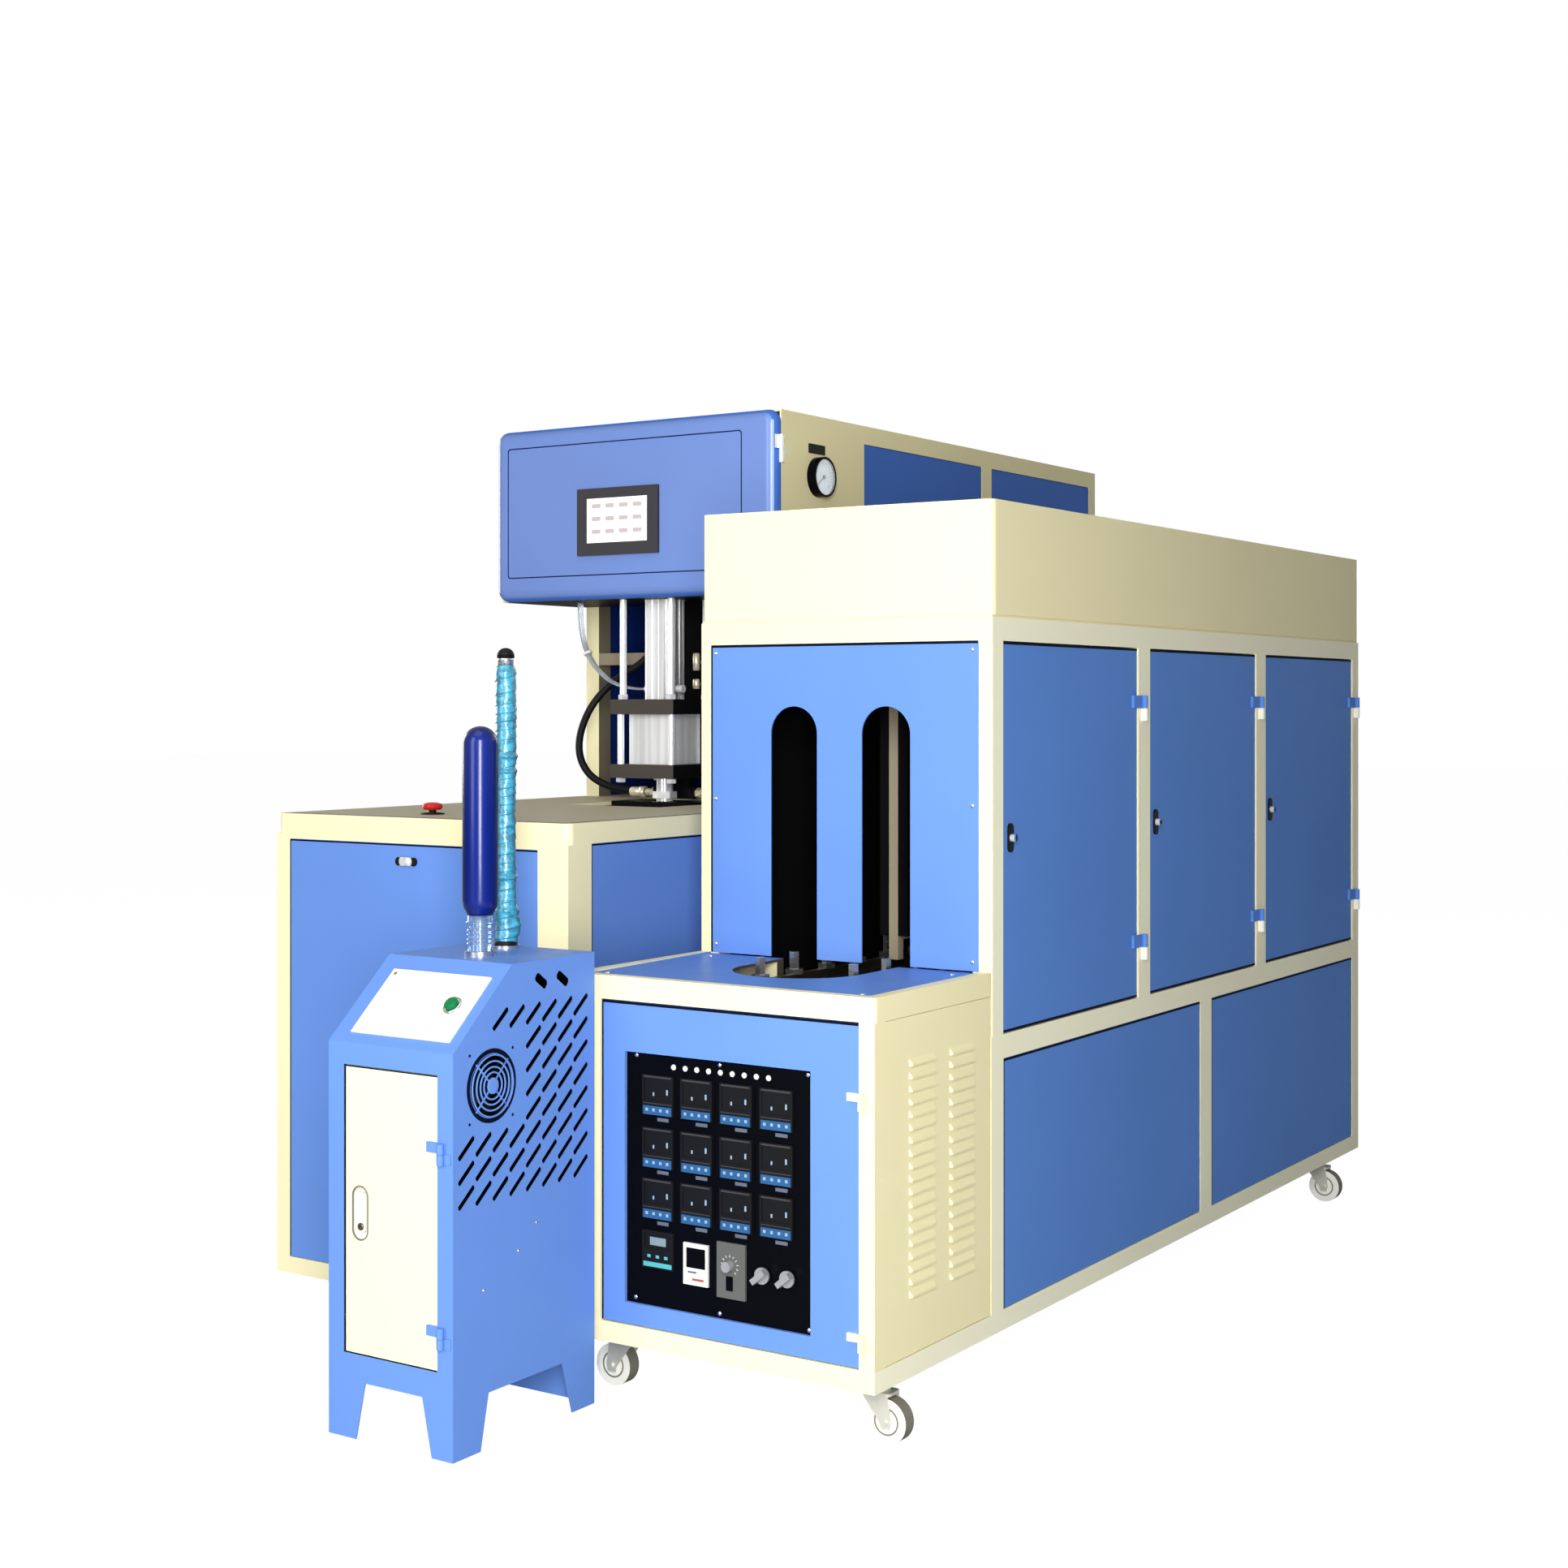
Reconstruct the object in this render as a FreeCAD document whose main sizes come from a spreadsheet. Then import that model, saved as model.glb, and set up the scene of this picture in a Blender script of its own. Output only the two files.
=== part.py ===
"""Semi-automatic blow moulding machine: preform oven, heating stand and press.

Every length below is in millimetres.  The sheet holds the driving lengths; each
piece is placed by formulas on the sheet's words, so a new value moves all that
hangs on it.  X runs across the machines, Y from front to back and Z up; the
origin is the middle of the underside of everything together.
"""
import FreeCAD, Part
import Sketcher
import math
import os

V = FreeCAD.Vector
DOC = FreeCAD.newDocument("BlowMouldingMachine")
SHEET = DOC.addObject("Spreadsheet::Sheet", "dims")


class Size:
    """A number together with the formula that it comes from."""

    def __init__(self, value, text):
        self.value = float(value)
        self.text = text

    @staticmethod
    def of(thing):
        """A Size for a plain number, or the same Size back."""
        if isinstance(thing, Size):
            return thing
        text = "%.6g" % thing
        return Size(thing, "(%s)" % text if thing < 0 else text)

    def _with(self, sign, a, b):
        a, b = Size.of(a), Size.of(b)
        value = {"+": a.value + b.value, "-": a.value - b.value,
                 "*": a.value * b.value, "/": a.value / (b.value or 1.0)}[sign]
        return Size(value, "(%s %s %s)" % (a.text, sign, b.text))

    def __add__(self, other):
        return self._with("+", self, other)

    def __radd__(self, other):
        return self._with("+", other, self)

    def __sub__(self, other):
        return self._with("-", self, other)

    def __rsub__(self, other):
        return self._with("-", other, self)

    def __mul__(self, other):
        return self._with("*", self, other)

    def __rmul__(self, other):
        return self._with("*", other, self)

    def __truediv__(self, other):
        return self._with("/", self, other)

    def __neg__(self):
        return self._with("-", 0, self)


def num(thing):
    """The number behind a Size or a plain number."""
    return thing.value if isinstance(thing, Size) else float(thing)


DIMENSIONS = [
    ("oven_right", 836.25, "X of the oven's right side"),
    ("oven_front", -1150.25, "Y of the oven's front"),
    ("oven_width", 632, "oven, side to side"),
    ("oven_length", 2366, "oven, front to back"),
    ("oven_bottom", 109, "underside of the oven's frame, on its casters"),
    ("oven_top", 1589, "top of the oven's hood"),
    ("counter_depth", 405, "loading counter in front of the tunnel"),
    ("counter_top", 750, "height of the loading counter"),
    ("seam_height", 1380, "underside of the hood"),
    ("tube", 40, "square tube of the frames"),
    ("sheet_metal", 2, "thickness of doors and folded sheet"),
    ("panel_metal", 3, "thickness of the fixed panels"),
    ("door_gap", 2, "gap round each door"),
    ("counter_thickness", 41, "height of the counter's rim"),
    ("lower_rail", 145, "top of the oven's lowest tubes"),
    ("middle_rail", 593, "underside of the oven's middle tubes"),
    ("tunnel_floor", 636, "top of the oven's middle tubes"),
    ("upper_rail", 1338, "underside of the oven's upper tubes"),
    ("lane_middle", 318, "middle of the lanes, left of the oven's right side"),
    ("lane_spacing", 200, "distance between the two preform lanes"),
    ("chain_height", 712, "middle of the conveyor chain"),
    ("sprocket_rear", 2215, "rear sprocket behind the oven's front"),
    ("sprocket_front", 276, "front sprocket behind the oven's front"),
    ("wheel_radius", 37.5, "caster wheel"),
    ("wheel_width", 27, "caster wheel"),
    ("caster_trail", 25, "axle behind the swivel"),
    ("pin_radius", 2.5, "hinge pin"),
    ("pin_clearance", 0.05, "radial clearance of a running pin"),
    ("stand_side", 567, "stand's right side, left of the oven's right side"),
    ("stand_width", 278, "heating stand, side to side"),
    ("stand_front", 375, "stand's front, before the oven's front"),
    ("stand_back", 9, "stand's back, before the oven's front"),
    ("stand_height", 791, "top of the heating stand"),
    ("stand_knee", 660, "foot of the sloping console"),
    ("console_run", 146, "depth of the sloping console"),
    ("preform_radius", 30.75, "body of the preform"),
    ("preform_length", 396, "preform, mouth to closed end"),
    ("press_side", 870.6, "press's right side, left of the oven's right side"),
    ("press_width", 800, "press, side to side"),
    ("press_front", 293, "press's front, behind the oven's front"),
    ("press_length", 2379, "press, front to back"),
    ("table_height", 992, "top of the press table"),
    ("tower_front", 1353.7, "tower's front, behind the oven's front"),
    ("tower_height", 1885, "top of the press"),
    ("head_front", 1016, "head door's face, behind the oven's front"),
    ("head_bottom", 1473, "underside of the blow head's housing"),
    ("blow_across", 1270, "blow axis, left of the oven's right side"),
    ("blow_behind", 1148, "blow axis, behind the oven's front"),
    ("bottle_radius", 136, "body of the bottle cavity"),
    ("mould_width", 360, "mould block, side to side"),
    ("mould_depth", 172, "one mould half, split face to back"),
    ("mould_bottom", 400, "underside of the mould"),
    ("mould_top", 944, "top of the mould, under the neck plates"),
    ("bar_radius", 20, "guide bar of the clamp"),
    ("bar_spread", 205, "guide bar to the blow axis, sideways"),
    ("bar_low", 450, "height of the lower guide bars"),
    ("bar_high", 890, "height of the upper guide bars"),
    ("ram_height", 670, "height of the clamp's rams"),
    ("ram_radius", 17.5, "ram of a clamp cylinder"),
    ("ram_reach", 488, "blow axis to a ram's piston"),
    ("end_plate", 410, "blow axis to an end plate's inner face"),
    ("plate_metal", 40, "thickness of platens and end plates"),
    ("rod_radius", 6, "stretch rod"),
    ("lower_plate", 1052, "underside of the blow head's lower plate"),
    ("lower_barrel", 1084, "foot of the lower cylinder, on its plate"),
    ("upper_plate", 1202, "underside of the blow head's upper plate"),
    ("upper_barrel", 1237, "foot of the upper cylinder, on its plate"),
    ("plate_half", 92, "blow axis to the edge of either plate"),
    ("hose_radius", 9, "air hose"),
]


class Words:
    """The sheet's words as attributes, each one a Size."""

    def __init__(self, rows):
        for line, (word, value, note) in enumerate(rows, start=1):
            SHEET.set("A%d" % line, str(value))
            SHEET.set("B%d" % line, note)
            SHEET.setAlias("A%d" % line, word)
            setattr(self, word, Size(value, "dims." + word))


D = Words(DIMENSIONS)
DOC.recompute()

RX = D.oven_right
FY = D.oven_front
NODES = []
COUNTS = {}


def unique(name):
    """A name with a running number when the same one came before."""
    COUNTS[name] = COUNTS.get(name, 0) + 1
    return name if COUNTS[name] == 1 else "%s_n%d" % (name, COUNTS[name])


def bind(obj, prop, size):
    """Drives one property by the formula of a Size."""
    obj.setExpression(prop, Size.of(size).text)


def place(obj, x=None, y=None, z=None):
    """Drives the position of an object."""
    for word, size in (("x", x), ("y", y), ("z", z)):
        if size is not None:
            bind(obj, "Placement.Base." + word, size)


def box(x0, x1, y0, y1, z0, z1, name="bar"):
    """A block between two positions on each axis."""
    obj = DOC.addObject("Part::Box", unique(name))
    for prop, low, high in (("Length", x0, x1), ("Width", y0, y1), ("Height", z0, z1)):
        bind(obj, prop, Size.of(high) - low)
    place(obj, x0, y0, z0)
    return obj


TURNS = {"x": FreeCAD.Rotation(V(0, 1, 0), 90), "y": FreeCAD.Rotation(V(1, 0, 0), -90),
         "z": FreeCAD.Rotation()}


def rod(axis, x, y, z, radius, length, name="rod"):
    """A cylinder that starts at a point and runs along +X, +Y or +Z."""
    obj = DOC.addObject("Part::Cylinder", unique(name))
    bind(obj, "Radius", radius)
    bind(obj, "Height", length)
    obj.Placement = FreeCAD.Placement(V(), TURNS[axis])
    place(obj, x, y, z)
    return obj


def prism(axis, x, y, z, radius, length, sides=6, name="prism", turn=0):
    """A regular prism that starts at a point and runs along +X, +Y or +Z."""
    obj = DOC.addObject("Part::Prism", unique(name))
    obj.Polygon = sides
    bind(obj, "Circumradius", radius)
    bind(obj, "Height", length)
    spin = FreeCAD.Rotation(V(0, 0, 1), turn)
    obj.Placement = FreeCAD.Placement(V(), TURNS[axis].multiply(spin))
    place(obj, x, y, z)
    return obj


def ball(x, y, z, radius, name="ball"):
    """A sphere about a point."""
    obj = DOC.addObject("Part::Sphere", unique(name))
    bind(obj, "Radius", radius)
    place(obj, x, y, z)
    return obj


def cut(base, tools, name="cut"):
    """A solid less one or more others."""
    tools = tools if isinstance(tools, list) else [tools]
    obj = DOC.addObject("Part::Cut", unique(name))
    obj.Base = base
    obj.Tool = tools[0] if len(tools) == 1 else group(tools, "tools")
    return obj


def fuse(parts, name="fused"):
    """Several solids made into one."""
    obj = DOC.addObject("Part::MultiFuse", unique(name))
    obj.Shapes = parts
    obj.Refine = True
    return obj


def group(parts, name="group"):
    """Several solids kept side by side in one shape."""
    obj = DOC.addObject("Part::Compound", unique(name))
    obj.Links = parts
    return obj


def node(label, parts):
    """Marks a shape as one of the product's pieces, under its file's name."""
    parts = parts if isinstance(parts, list) else [parts]
    obj = parts[0] if len(parts) == 1 else group(parts, label)
    obj.Label = label
    NODES.append(obj)
    return obj


def solid(shape, name):
    """A shape computed by code as a document object."""
    obj = DOC.addObject("Part::Feature", unique(name))
    obj.Shape = shape
    return obj


# ---------------------------------------------------------------- sketches

class Drawing:
    """A sketch on one of a body's own planes, its outlines held by formulas."""

    def __init__(self, body, plane, offset=0, name="outline"):
        self.body = body
        self.sketch = body.newObject("Sketcher::SketchObject", unique(name))
        support = [f for f in body.Origin.OriginFeatures if f.Role == plane + "_Plane"][0]
        self.sketch.AttachmentSupport = [(support, "")]
        self.sketch.MapMode = "FlatFace"
        if Size.of(offset).text != "0":
            bind(self.sketch, "AttachmentOffset.Base.z", offset)

    def _hold(self, kind, *where):
        size = Size.of(where[-1])
        index = self.sketch.addConstraint(Sketcher.Constraint(kind, *where[:-1], size.value))
        self.sketch.setExpression("Constraints[%d]" % index, size.text)

    def _pin(self, geo, point, x, y):
        self._hold("DistanceX", -1, 1, geo, point, x)
        self._hold("DistanceY", -1, 1, geo, point, y)

    def polygon(self, points):
        """A closed outline through the points."""
        first = self.sketch.GeometryCount
        count = len(points)
        for i in range(count):
            a, b = points[i], points[(i + 1) % count]
            self.sketch.addGeometry(Part.LineSegment(V(num(a[0]), num(a[1]), 0),
                                                     V(num(b[0]), num(b[1]), 0)), False)
        for i in range(count):
            self.sketch.addConstraint(Sketcher.Constraint(
                "Coincident", first + i, 2, first + (i + 1) % count, 1))
            self._pin(first + i, 1, *points[i])
        return self

    def rect(self, x0, x1, y0, y1):
        """An upright rectangle between two positions on each axis."""
        return self.polygon([(x0, y0), (x1, y0), (x1, y1), (x0, y1)])

    def circle(self, x, y, radius):
        """A circle about a point."""
        geo = self.sketch.addGeometry(Part.Circle(V(num(x), num(y), 0), V(0, 0, 1),
                                                  num(radius)), False)
        self._pin(geo, 3, x, y)
        self._hold("Radius", geo, radius)
        return self

    def rounded(self, x0, x1, y0, y1, radius):
        """An upright rectangle with round corners."""
        x0, x1, y0, y1, r = [Size.of(v) for v in (x0, x1, y0, y1, radius)]
        sk, first = self.sketch, self.sketch.GeometryCount
        centres = [(x0 + r, y0 + r, 180), (x1 - r, y0 + r, 270),
                   (x1 - r, y1 - r, 0), (x0 + r, y1 - r, 90)]
        for cx, cy, start in centres:
            sk.addGeometry(Part.ArcOfCircle(
                Part.Circle(V(cx.value, cy.value, 0), V(0, 0, 1), r.value),
                math.radians(start), math.radians(start + 90)), False)
        for i in range(4):
            a, b = sk.Geometry[first + i].EndPoint, sk.Geometry[first + (i + 1) % 4].StartPoint
            sk.addGeometry(Part.LineSegment(a, b), False)
        for i in range(4):
            sk.addConstraint(Sketcher.Constraint("Tangent", first + i, 2, first + 4 + i, 1))
            sk.addConstraint(Sketcher.Constraint("Tangent", first + 4 + i, 2,
                                                 first + (i + 1) % 4, 1))
        self._pin(first, 3, centres[0][0], centres[0][1])
        self._pin(first + 2, 3, centres[2][0], centres[2][1])
        self._hold("Radius", first, r)
        for i in range(1, 4):
            sk.addConstraint(Sketcher.Constraint("Equal", first, first + i))
        sk.addConstraint(Sketcher.Constraint("Horizontal", first + 4))
        sk.addConstraint(Sketcher.Constraint("Vertical", first + 5))
        return self


class Shaper:
    """A PartDesign body with the few operations that this machine needs."""

    def __init__(self, name, x=0, y=0, z=0):
        self.body = DOC.addObject("PartDesign::Body", unique(name))
        place(self.body, x, y, z)

    def draw(self, plane, offset=0):
        """A new sketch on the XY, XZ or YZ plane, moved along its normal."""
        return Drawing(self.body, plane, offset)

    def _feature(self, kind, drawing, back):
        obj = self.body.newObject("PartDesign::" + kind, unique(kind.lower()))
        obj.Profile = drawing.sketch
        drawing.sketch.Visibility = False
        obj.Reversed = back
        return obj

    def pad(self, drawing, length, back=False):
        """Adds material along the sketch's normal, or against it."""
        obj = self._feature("Pad", drawing, back)
        bind(obj, "Length", length)
        return self

    def pocket(self, drawing, length, back=False):
        """Takes material away against the sketch's normal, or along it."""
        obj = self._feature("Pocket", drawing, back)
        bind(obj, "Length", length)
        return self

    def roll_front(self, radius):
        """Rolls the outer edges of the face that looks to the front."""
        DOC.recompute()
        tip = self.body.Tip
        front = min(e.BoundBox.YMin for e in tip.Shape.Edges)
        names = ["Edge%d" % (i + 1) for i, e in enumerate(tip.Shape.Edges)
                 if e.BoundBox.YMax < front + 0.01]
        obj = self.body.newObject("PartDesign::Fillet", unique("roll"))
        obj.Base = (tip, names)
        bind(obj, "Radius", radius)
        self.body.Tip = obj
        return self

    def turn(self, drawing, groove=False):
        """Adds or takes away a solid of revolution about the sketch's upright axis."""
        obj = self._feature("Groove" if groove else "Revolution", drawing, False)
        obj.ReferenceAxis = (drawing.sketch, ["V_Axis"])
        obj.Angle = 360
        return self


# ------------------------------------------------------- pieces used often

KNUCKLE = 6.0
PROUD = 6.5


def panel(side, at, a0, a1, z0, z1, seat=5.0):
    """A fixed sheet in a frame: a face with a fine joint round it, on a seat.

    side says which way the face looks (+x, -x, +y or -y); at is the plane of the
    frame's outside; a0..a1 is the opening along the frame.
    """
    gap = 1.5
    rim = D.panel_metal
    sign = 1 if side[0] == "+" else -1
    face = (at - sign * (1 + rim), at - sign * 1.0)
    back = (at - sign * (1 + rim + seat), at - sign * (1 + rim))
    parts = []
    for (p, q), inset in ((face, gap), (back, 0)):
        low, high = (p, q) if num(p) < num(q) else (q, p)
        a, b = Size.of(a0) + inset, Size.of(a1) - inset
        bottom, top = Size.of(z0) + inset, Size.of(z1) - inset
        if side[1] == "x":
            parts.append(box(low, high, a, b, bottom, top, "panel"))
        else:
            parts.append(box(a, b, low, high, bottom, top, "panel"))
    return parts


def folded_door(side, at, a0, a1, z0, z1, depth=18.0):
    """A sheet door with its four edges folded back, set 3 mm into its opening."""
    g, t = D.door_gap, D.sheet_metal
    a0, a1 = Size.of(a0) + g, Size.of(a1) - g
    z0, z1 = Size.of(z0) + g, Size.of(z1) - g
    sign = 1 if side[0] == "+" else -1
    outer = at - sign * 3.0

    def slab(lo, hi, near, far, bottom, top):
        p, q = outer - near * sign, outer - far * sign
        p, q = (q, p) if sign > 0 else (p, q)
        if side[1] == "x":
            return box(p, q, lo, hi, bottom, top, "door")
        return box(lo, hi, p, q, bottom, top, "door")

    t0 = Size.of(0)
    sheet = slab(a0, a1, t0, t, z0, z1)
    folds = [slab(a0, a0 + t, t, t + depth, z0, z1), slab(a1 - t, a1, t, t + depth, z0, z1),
             slab(a0 + t, a1 - t, t, t + depth, z0, z0 + t),
             slab(a0 + t, a1 - t, t, t + depth, z1 - t, z1)]
    return [sheet] + folds


def oval_plate(axis, x, y, z, wide, tall, thick, name="oval"):
    """An upright oval plate: two half rounds and the block between them."""
    r = wide / 2.0
    half = (tall - wide) / 2.0
    low = rod(axis, x, y, z - half, r, thick, name)
    high = rod(axis, x, y, z + half, r, thick, name)
    if axis == "x":
        mid = box(x, x + thick, y - r, y + r, z - half, z + half, name)
    else:
        mid = box(x - r, x + r, y, y + thick, z - half, z + half, name)
    return fuse([low, mid, high], name)


def hinge(x, y, z, frame_leaf, door_leaf, height=51.0):
    """A barrel hinge about an upright pin: one solid for the frame, one for the door.

    The lower knuckle and the pin stay on the frame, the upper knuckle turns with
    the door.  frame_leaf and door_leaf are lists of plan rectangles
    (x0, x1, y0, y1) that carry the knuckles.
    """
    half, joint = height / 2.0, 0.25
    reach = half - 2.0
    fixed = [rod("z", x, y, z - half, KNUCKLE, half - joint, "knuckle"),
             rod("z", x, y, z - joint, D.pin_radius, reach, "hinge_pin")]
    moving = [cut(rod("z", x, y, z + joint, KNUCKLE, half - joint, "knuckle"),
                  rod("z", x, y, z + joint, D.pin_radius + D.pin_clearance, reach, "bore"),
                  "knuckle")]
    fixed += [box(*leaf, z - half, z - joint, name="leaf") for leaf in frame_leaf]
    moving += [box(*leaf, z + joint, z + half, name="leaf") for leaf in door_leaf]
    return fuse(fixed, "hinge_half"), fuse(moving, "hinge_half")


def stadium(drawing, cx, y0, y1, r):
    """A closed track about two centres on one upright line, in a sketch."""
    sk, first = drawing.sketch, drawing.sketch.GeometryCount
    x, a, b, radius = num(cx), num(y0), num(y1), num(r)
    for cy, start in ((b, 0), (a, 180)):
        sk.addGeometry(Part.ArcOfCircle(Part.Circle(V(x, cy, 0), V(0, 0, 1), radius),
                                        math.radians(start), math.radians(start + 180)), False)
    sk.addGeometry(Part.LineSegment(V(x - radius, b, 0), V(x - radius, a, 0)), False)
    sk.addGeometry(Part.LineSegment(V(x + radius, a, 0), V(x + radius, b, 0)), False)
    for one, p1, two, p2 in ((0, 2, 2, 1), (2, 2, 1, 1), (1, 2, 3, 1), (3, 2, 0, 1)):
        sk.addConstraint(Sketcher.Constraint("Tangent", first + one, p1, first + two, p2))
    drawing._pin(first, 3, cx, y1)
    drawing._pin(first + 1, 3, cx, y0)
    drawing._hold("Radius", first, r)
    return drawing


# ------------------------------------------------------------------- oven

LEFT = RX - D.oven_width
BACK = FY + D.oven_length
T = D.tube
B0 = D.oven_bottom
DOORS = [(445, 1028), (1085, 1670), (1727, 2322)]
DOOR_Z = (D.tunnel_floor, D.upper_rail)
LOWER_PANELS = [(446, 1346), (1408, 2318)]
LOWER_Z = (D.lower_rail, D.middle_rail)
CASTER_Y = (102, 2215)
CROSS_TUBES = (700, 1378, 2000)
LAMP_POSTS = (600, 1360, 2130)
MIDDLE = RX - D.lane_middle
WINDOW = (RX - 509.5, RX - 125, 184, 620.5)
KNOB_AT = (288, 277)
SELECTORS_AT = ((221, 270), (171, 271.5))
SPINDLE = 5


def oven_frame():
    """Square tubes of the oven, cut to lie face to face."""
    parts = []
    rim_under = D.counter_top - D.counter_thickness
    low, mid, floor, high = D.lower_rail, D.middle_rail, D.tunnel_floor, D.upper_rail
    for x0, x1 in ((RX - T, RX), (LEFT, LEFT + T)):
        parts.append(box(x0, x1, FY, BACK, B0, low))
        parts.append(box(x0, x1, FY + 400, BACK, mid, floor))
        parts.append(box(x0, x1, FY + D.counter_depth, BACK, high, D.seam_height))
        for y0, y1 in ((400, 446), (1346, 1408), (2318, 2366)):
            parts.append(box(x0, x1, FY + y0, FY + y1, low, mid))
        for y0, y1 in ((405, 445), (1028, 1085), (1670, 1727), (2322, 2366)):
            parts.append(box(x0, x1, FY + y0, FY + y1, floor, high))
    parts.append(box(RX - 30, RX, FY, FY + 33, low, rim_under))
    parts.append(box(LEFT, RX - 561, FY, FY + 33, low, rim_under))
    for y0, y1 in ((0, 33), (82, 122), (2195, 2235), (2326, 2366)):
        parts.append(box(LEFT + T, RX - T, FY + y0, FY + y1, B0, low))
    for z0, z1 in ((mid, floor), (high, D.seam_height)):
        parts.append(box(LEFT + T, RX - T, BACK - T, BACK, z0, z1))
    parts.append(box(LEFT + T, RX - T, FY + 405, FY + 445, high, D.seam_height))
    for y in CROSS_TUBES:
        parts.append(box(LEFT + T, RX - T, FY + y, FY + y + T, mid, floor))
    return parts


def oven_panels():
    """Fixed sheets of the oven: both sides, the back and the floor."""
    parts = []
    for y0, y1 in LOWER_PANELS:
        parts += panel("+x", RX, FY + y0, FY + y1, *LOWER_Z)
        parts += panel("-x", LEFT, FY + y0, FY + y1, *LOWER_Z)
    for y0, y1 in DOORS:
        parts += panel("-x", LEFT, FY + y0, FY + y1, *DOOR_Z)
    rim_under = D.counter_top - D.counter_thickness
    parts += panel("-x", LEFT, FY + 33, FY + 400, D.lower_rail, rim_under)
    parts += panel("+y", BACK, LEFT + T, RX - T, *LOWER_Z)
    parts += panel("+y", BACK, LEFT + T, RX - T, *DOOR_Z)
    parts.append(box(LEFT + T, RX - T, FY + 122, FY + 2195, B0, B0 + 3, "floor"))
    return parts


def louvre_panel():
    """Service panel with two columns of pressed louvres."""
    face = RX - 1
    top = D.counter_top - D.counter_thickness
    pitch = 21.33
    sheet = panel("+x", RX, FY + 33, FY + 400, D.lower_rail, top, seat=0.5)
    hoods, slots = [], []
    for column in (112, 250):
        for row in range(19):
            z = 247 + row * pitch
            wedge = DOC.addObject("Part::Wedge", unique("louvre"))
            wedge.Xmin, wedge.Xmax, wedge.X2min, wedge.X2max = 0, 86, 3, 83
            wedge.Ymin, wedge.Ymax = 0, 5
            wedge.Zmin, wedge.Zmax, wedge.Z2min, wedge.Z2max = 0, 12, 8, 12
            wedge.Placement = FreeCAD.Placement(V(), FreeCAD.Rotation(V(1, 1, 0), 180))
            place(wedge, face, FY + column, z + 6)
            hoods.append(wedge)
            slots.append(box(face - 6, face + 3.5, FY + column + 8, FY + column + 78,
                             z - 6.5, z - 1, "louvre_slot"))
    return cut(fuse(sheet + hoods, "louvre_body"), slots, "louvre_panel_body")


def counter_plate():
    """Loading counter: a rolled rim, a sunk plate and the way for the chain."""
    thick = D.counter_thickness
    shape = Shaper("counter", LEFT, FY, D.counter_top - thick)
    w, d, rim = D.oven_width, D.counter_depth, 22
    cx, r = w - D.lane_middle, 125
    top = shape.draw("XY").rounded(0, w, 0, d, 9)
    shape.pad(top, thick)
    under = shape.draw("XY").rect(rim, w - rim, rim, d - rim)
    shape.pocket(under, thick - 8, back=True)
    sunk = shape.draw("XY", thick - 3).rounded(rim, w - rim, rim, d + 9, 6)
    shape.pocket(sunk, 10, back=True)
    hole = shape.draw("XY").circle(cx, D.sprocket_front, r)
    shape.pocket(hole, 60, back=True)
    way = shape.draw("XY").rect(cx - r, cx + r, D.sprocket_front, d + 9)
    shape.pocket(way, 60, back=True)
    return shape.body


def oven_front_panel():
    """Upright panel over the counter, with an arch over each preform lane."""
    x0, z0 = LEFT + 25, D.counter_top
    wide, high, thick = 579, D.upper_rail - D.counter_top, D.panel_metal
    arch, spring = 51.5, 419.5
    shape = Shaper("oven_front_sheet", x0, FY + D.counter_depth - thick, z0)
    shape.pad(shape.draw("XZ").rect(0, wide, 0, high), thick, back=True)
    arches = shape.draw("XZ")
    for lane in (-0.5, 0.5):
        at = MIDDLE - x0 + D.lane_spacing * lane
        arches.rect(at - arch, at + arch, -9, spring)
    shape.pocket(arches, 9)
    crowns = shape.draw("XZ")
    for lane in (-0.5, 0.5):
        crowns.circle(MIDDLE - x0 + D.lane_spacing * lane, spring, arch)
    shape.pocket(crowns, 9)
    return shape.body


def oven_hood():
    """Plain hood over the tunnel, with a shadow seam at its foot."""
    shape = Shaper("hood", LEFT, FY + D.counter_depth, D.seam_height)
    w, d, h = D.oven_width, D.oven_length - D.counter_depth, D.oven_top - D.seam_height
    seam, wall = 4, D.tube
    shape.pad(shape.draw("XY").rect(3, w - 3, 3, d - 3), seam)
    shape.pad(shape.draw("XY", seam).rounded(0, w, 0, d, 14), h - seam)
    shape.pocket(shape.draw("XY").rect(wall, w - wall, wall, d - wall), h - D.sheet_metal,
                 back=True)
    return shape.body


def oven_door(number):
    """Tunnel door: folded sheet, hinge halves and a key lock."""
    y0, y1 = DOORS[number]
    parts = folded_door("+x", RX, FY + y0, FY + y1, *DOOR_Z)
    edge, lock_y, lock_z = FY + y1, FY + y0 + 30, 985
    fixed = []
    for z in (1217, 737):
        still, turning = hinge(
            RX + PROUD, edge + 17, z,
            [(RX, RX + 2.5, edge + 14, edge + 21)],
            [(RX - 3, RX + 0.5, edge - 26, edge - 4), (RX + 0.5, RX + 2.5, edge - 26, edge + 17)])
        fixed.append(still)
        parts.append(turning)
    parts.append(oval_plate("x", RX - 3, lock_y, lock_z, 18, 52, 4, "lock_plate"))
    parts.append(rod("x", RX + 1, lock_y, lock_z, 7, 9, "lock_knob"))
    return parts, fixed


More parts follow.
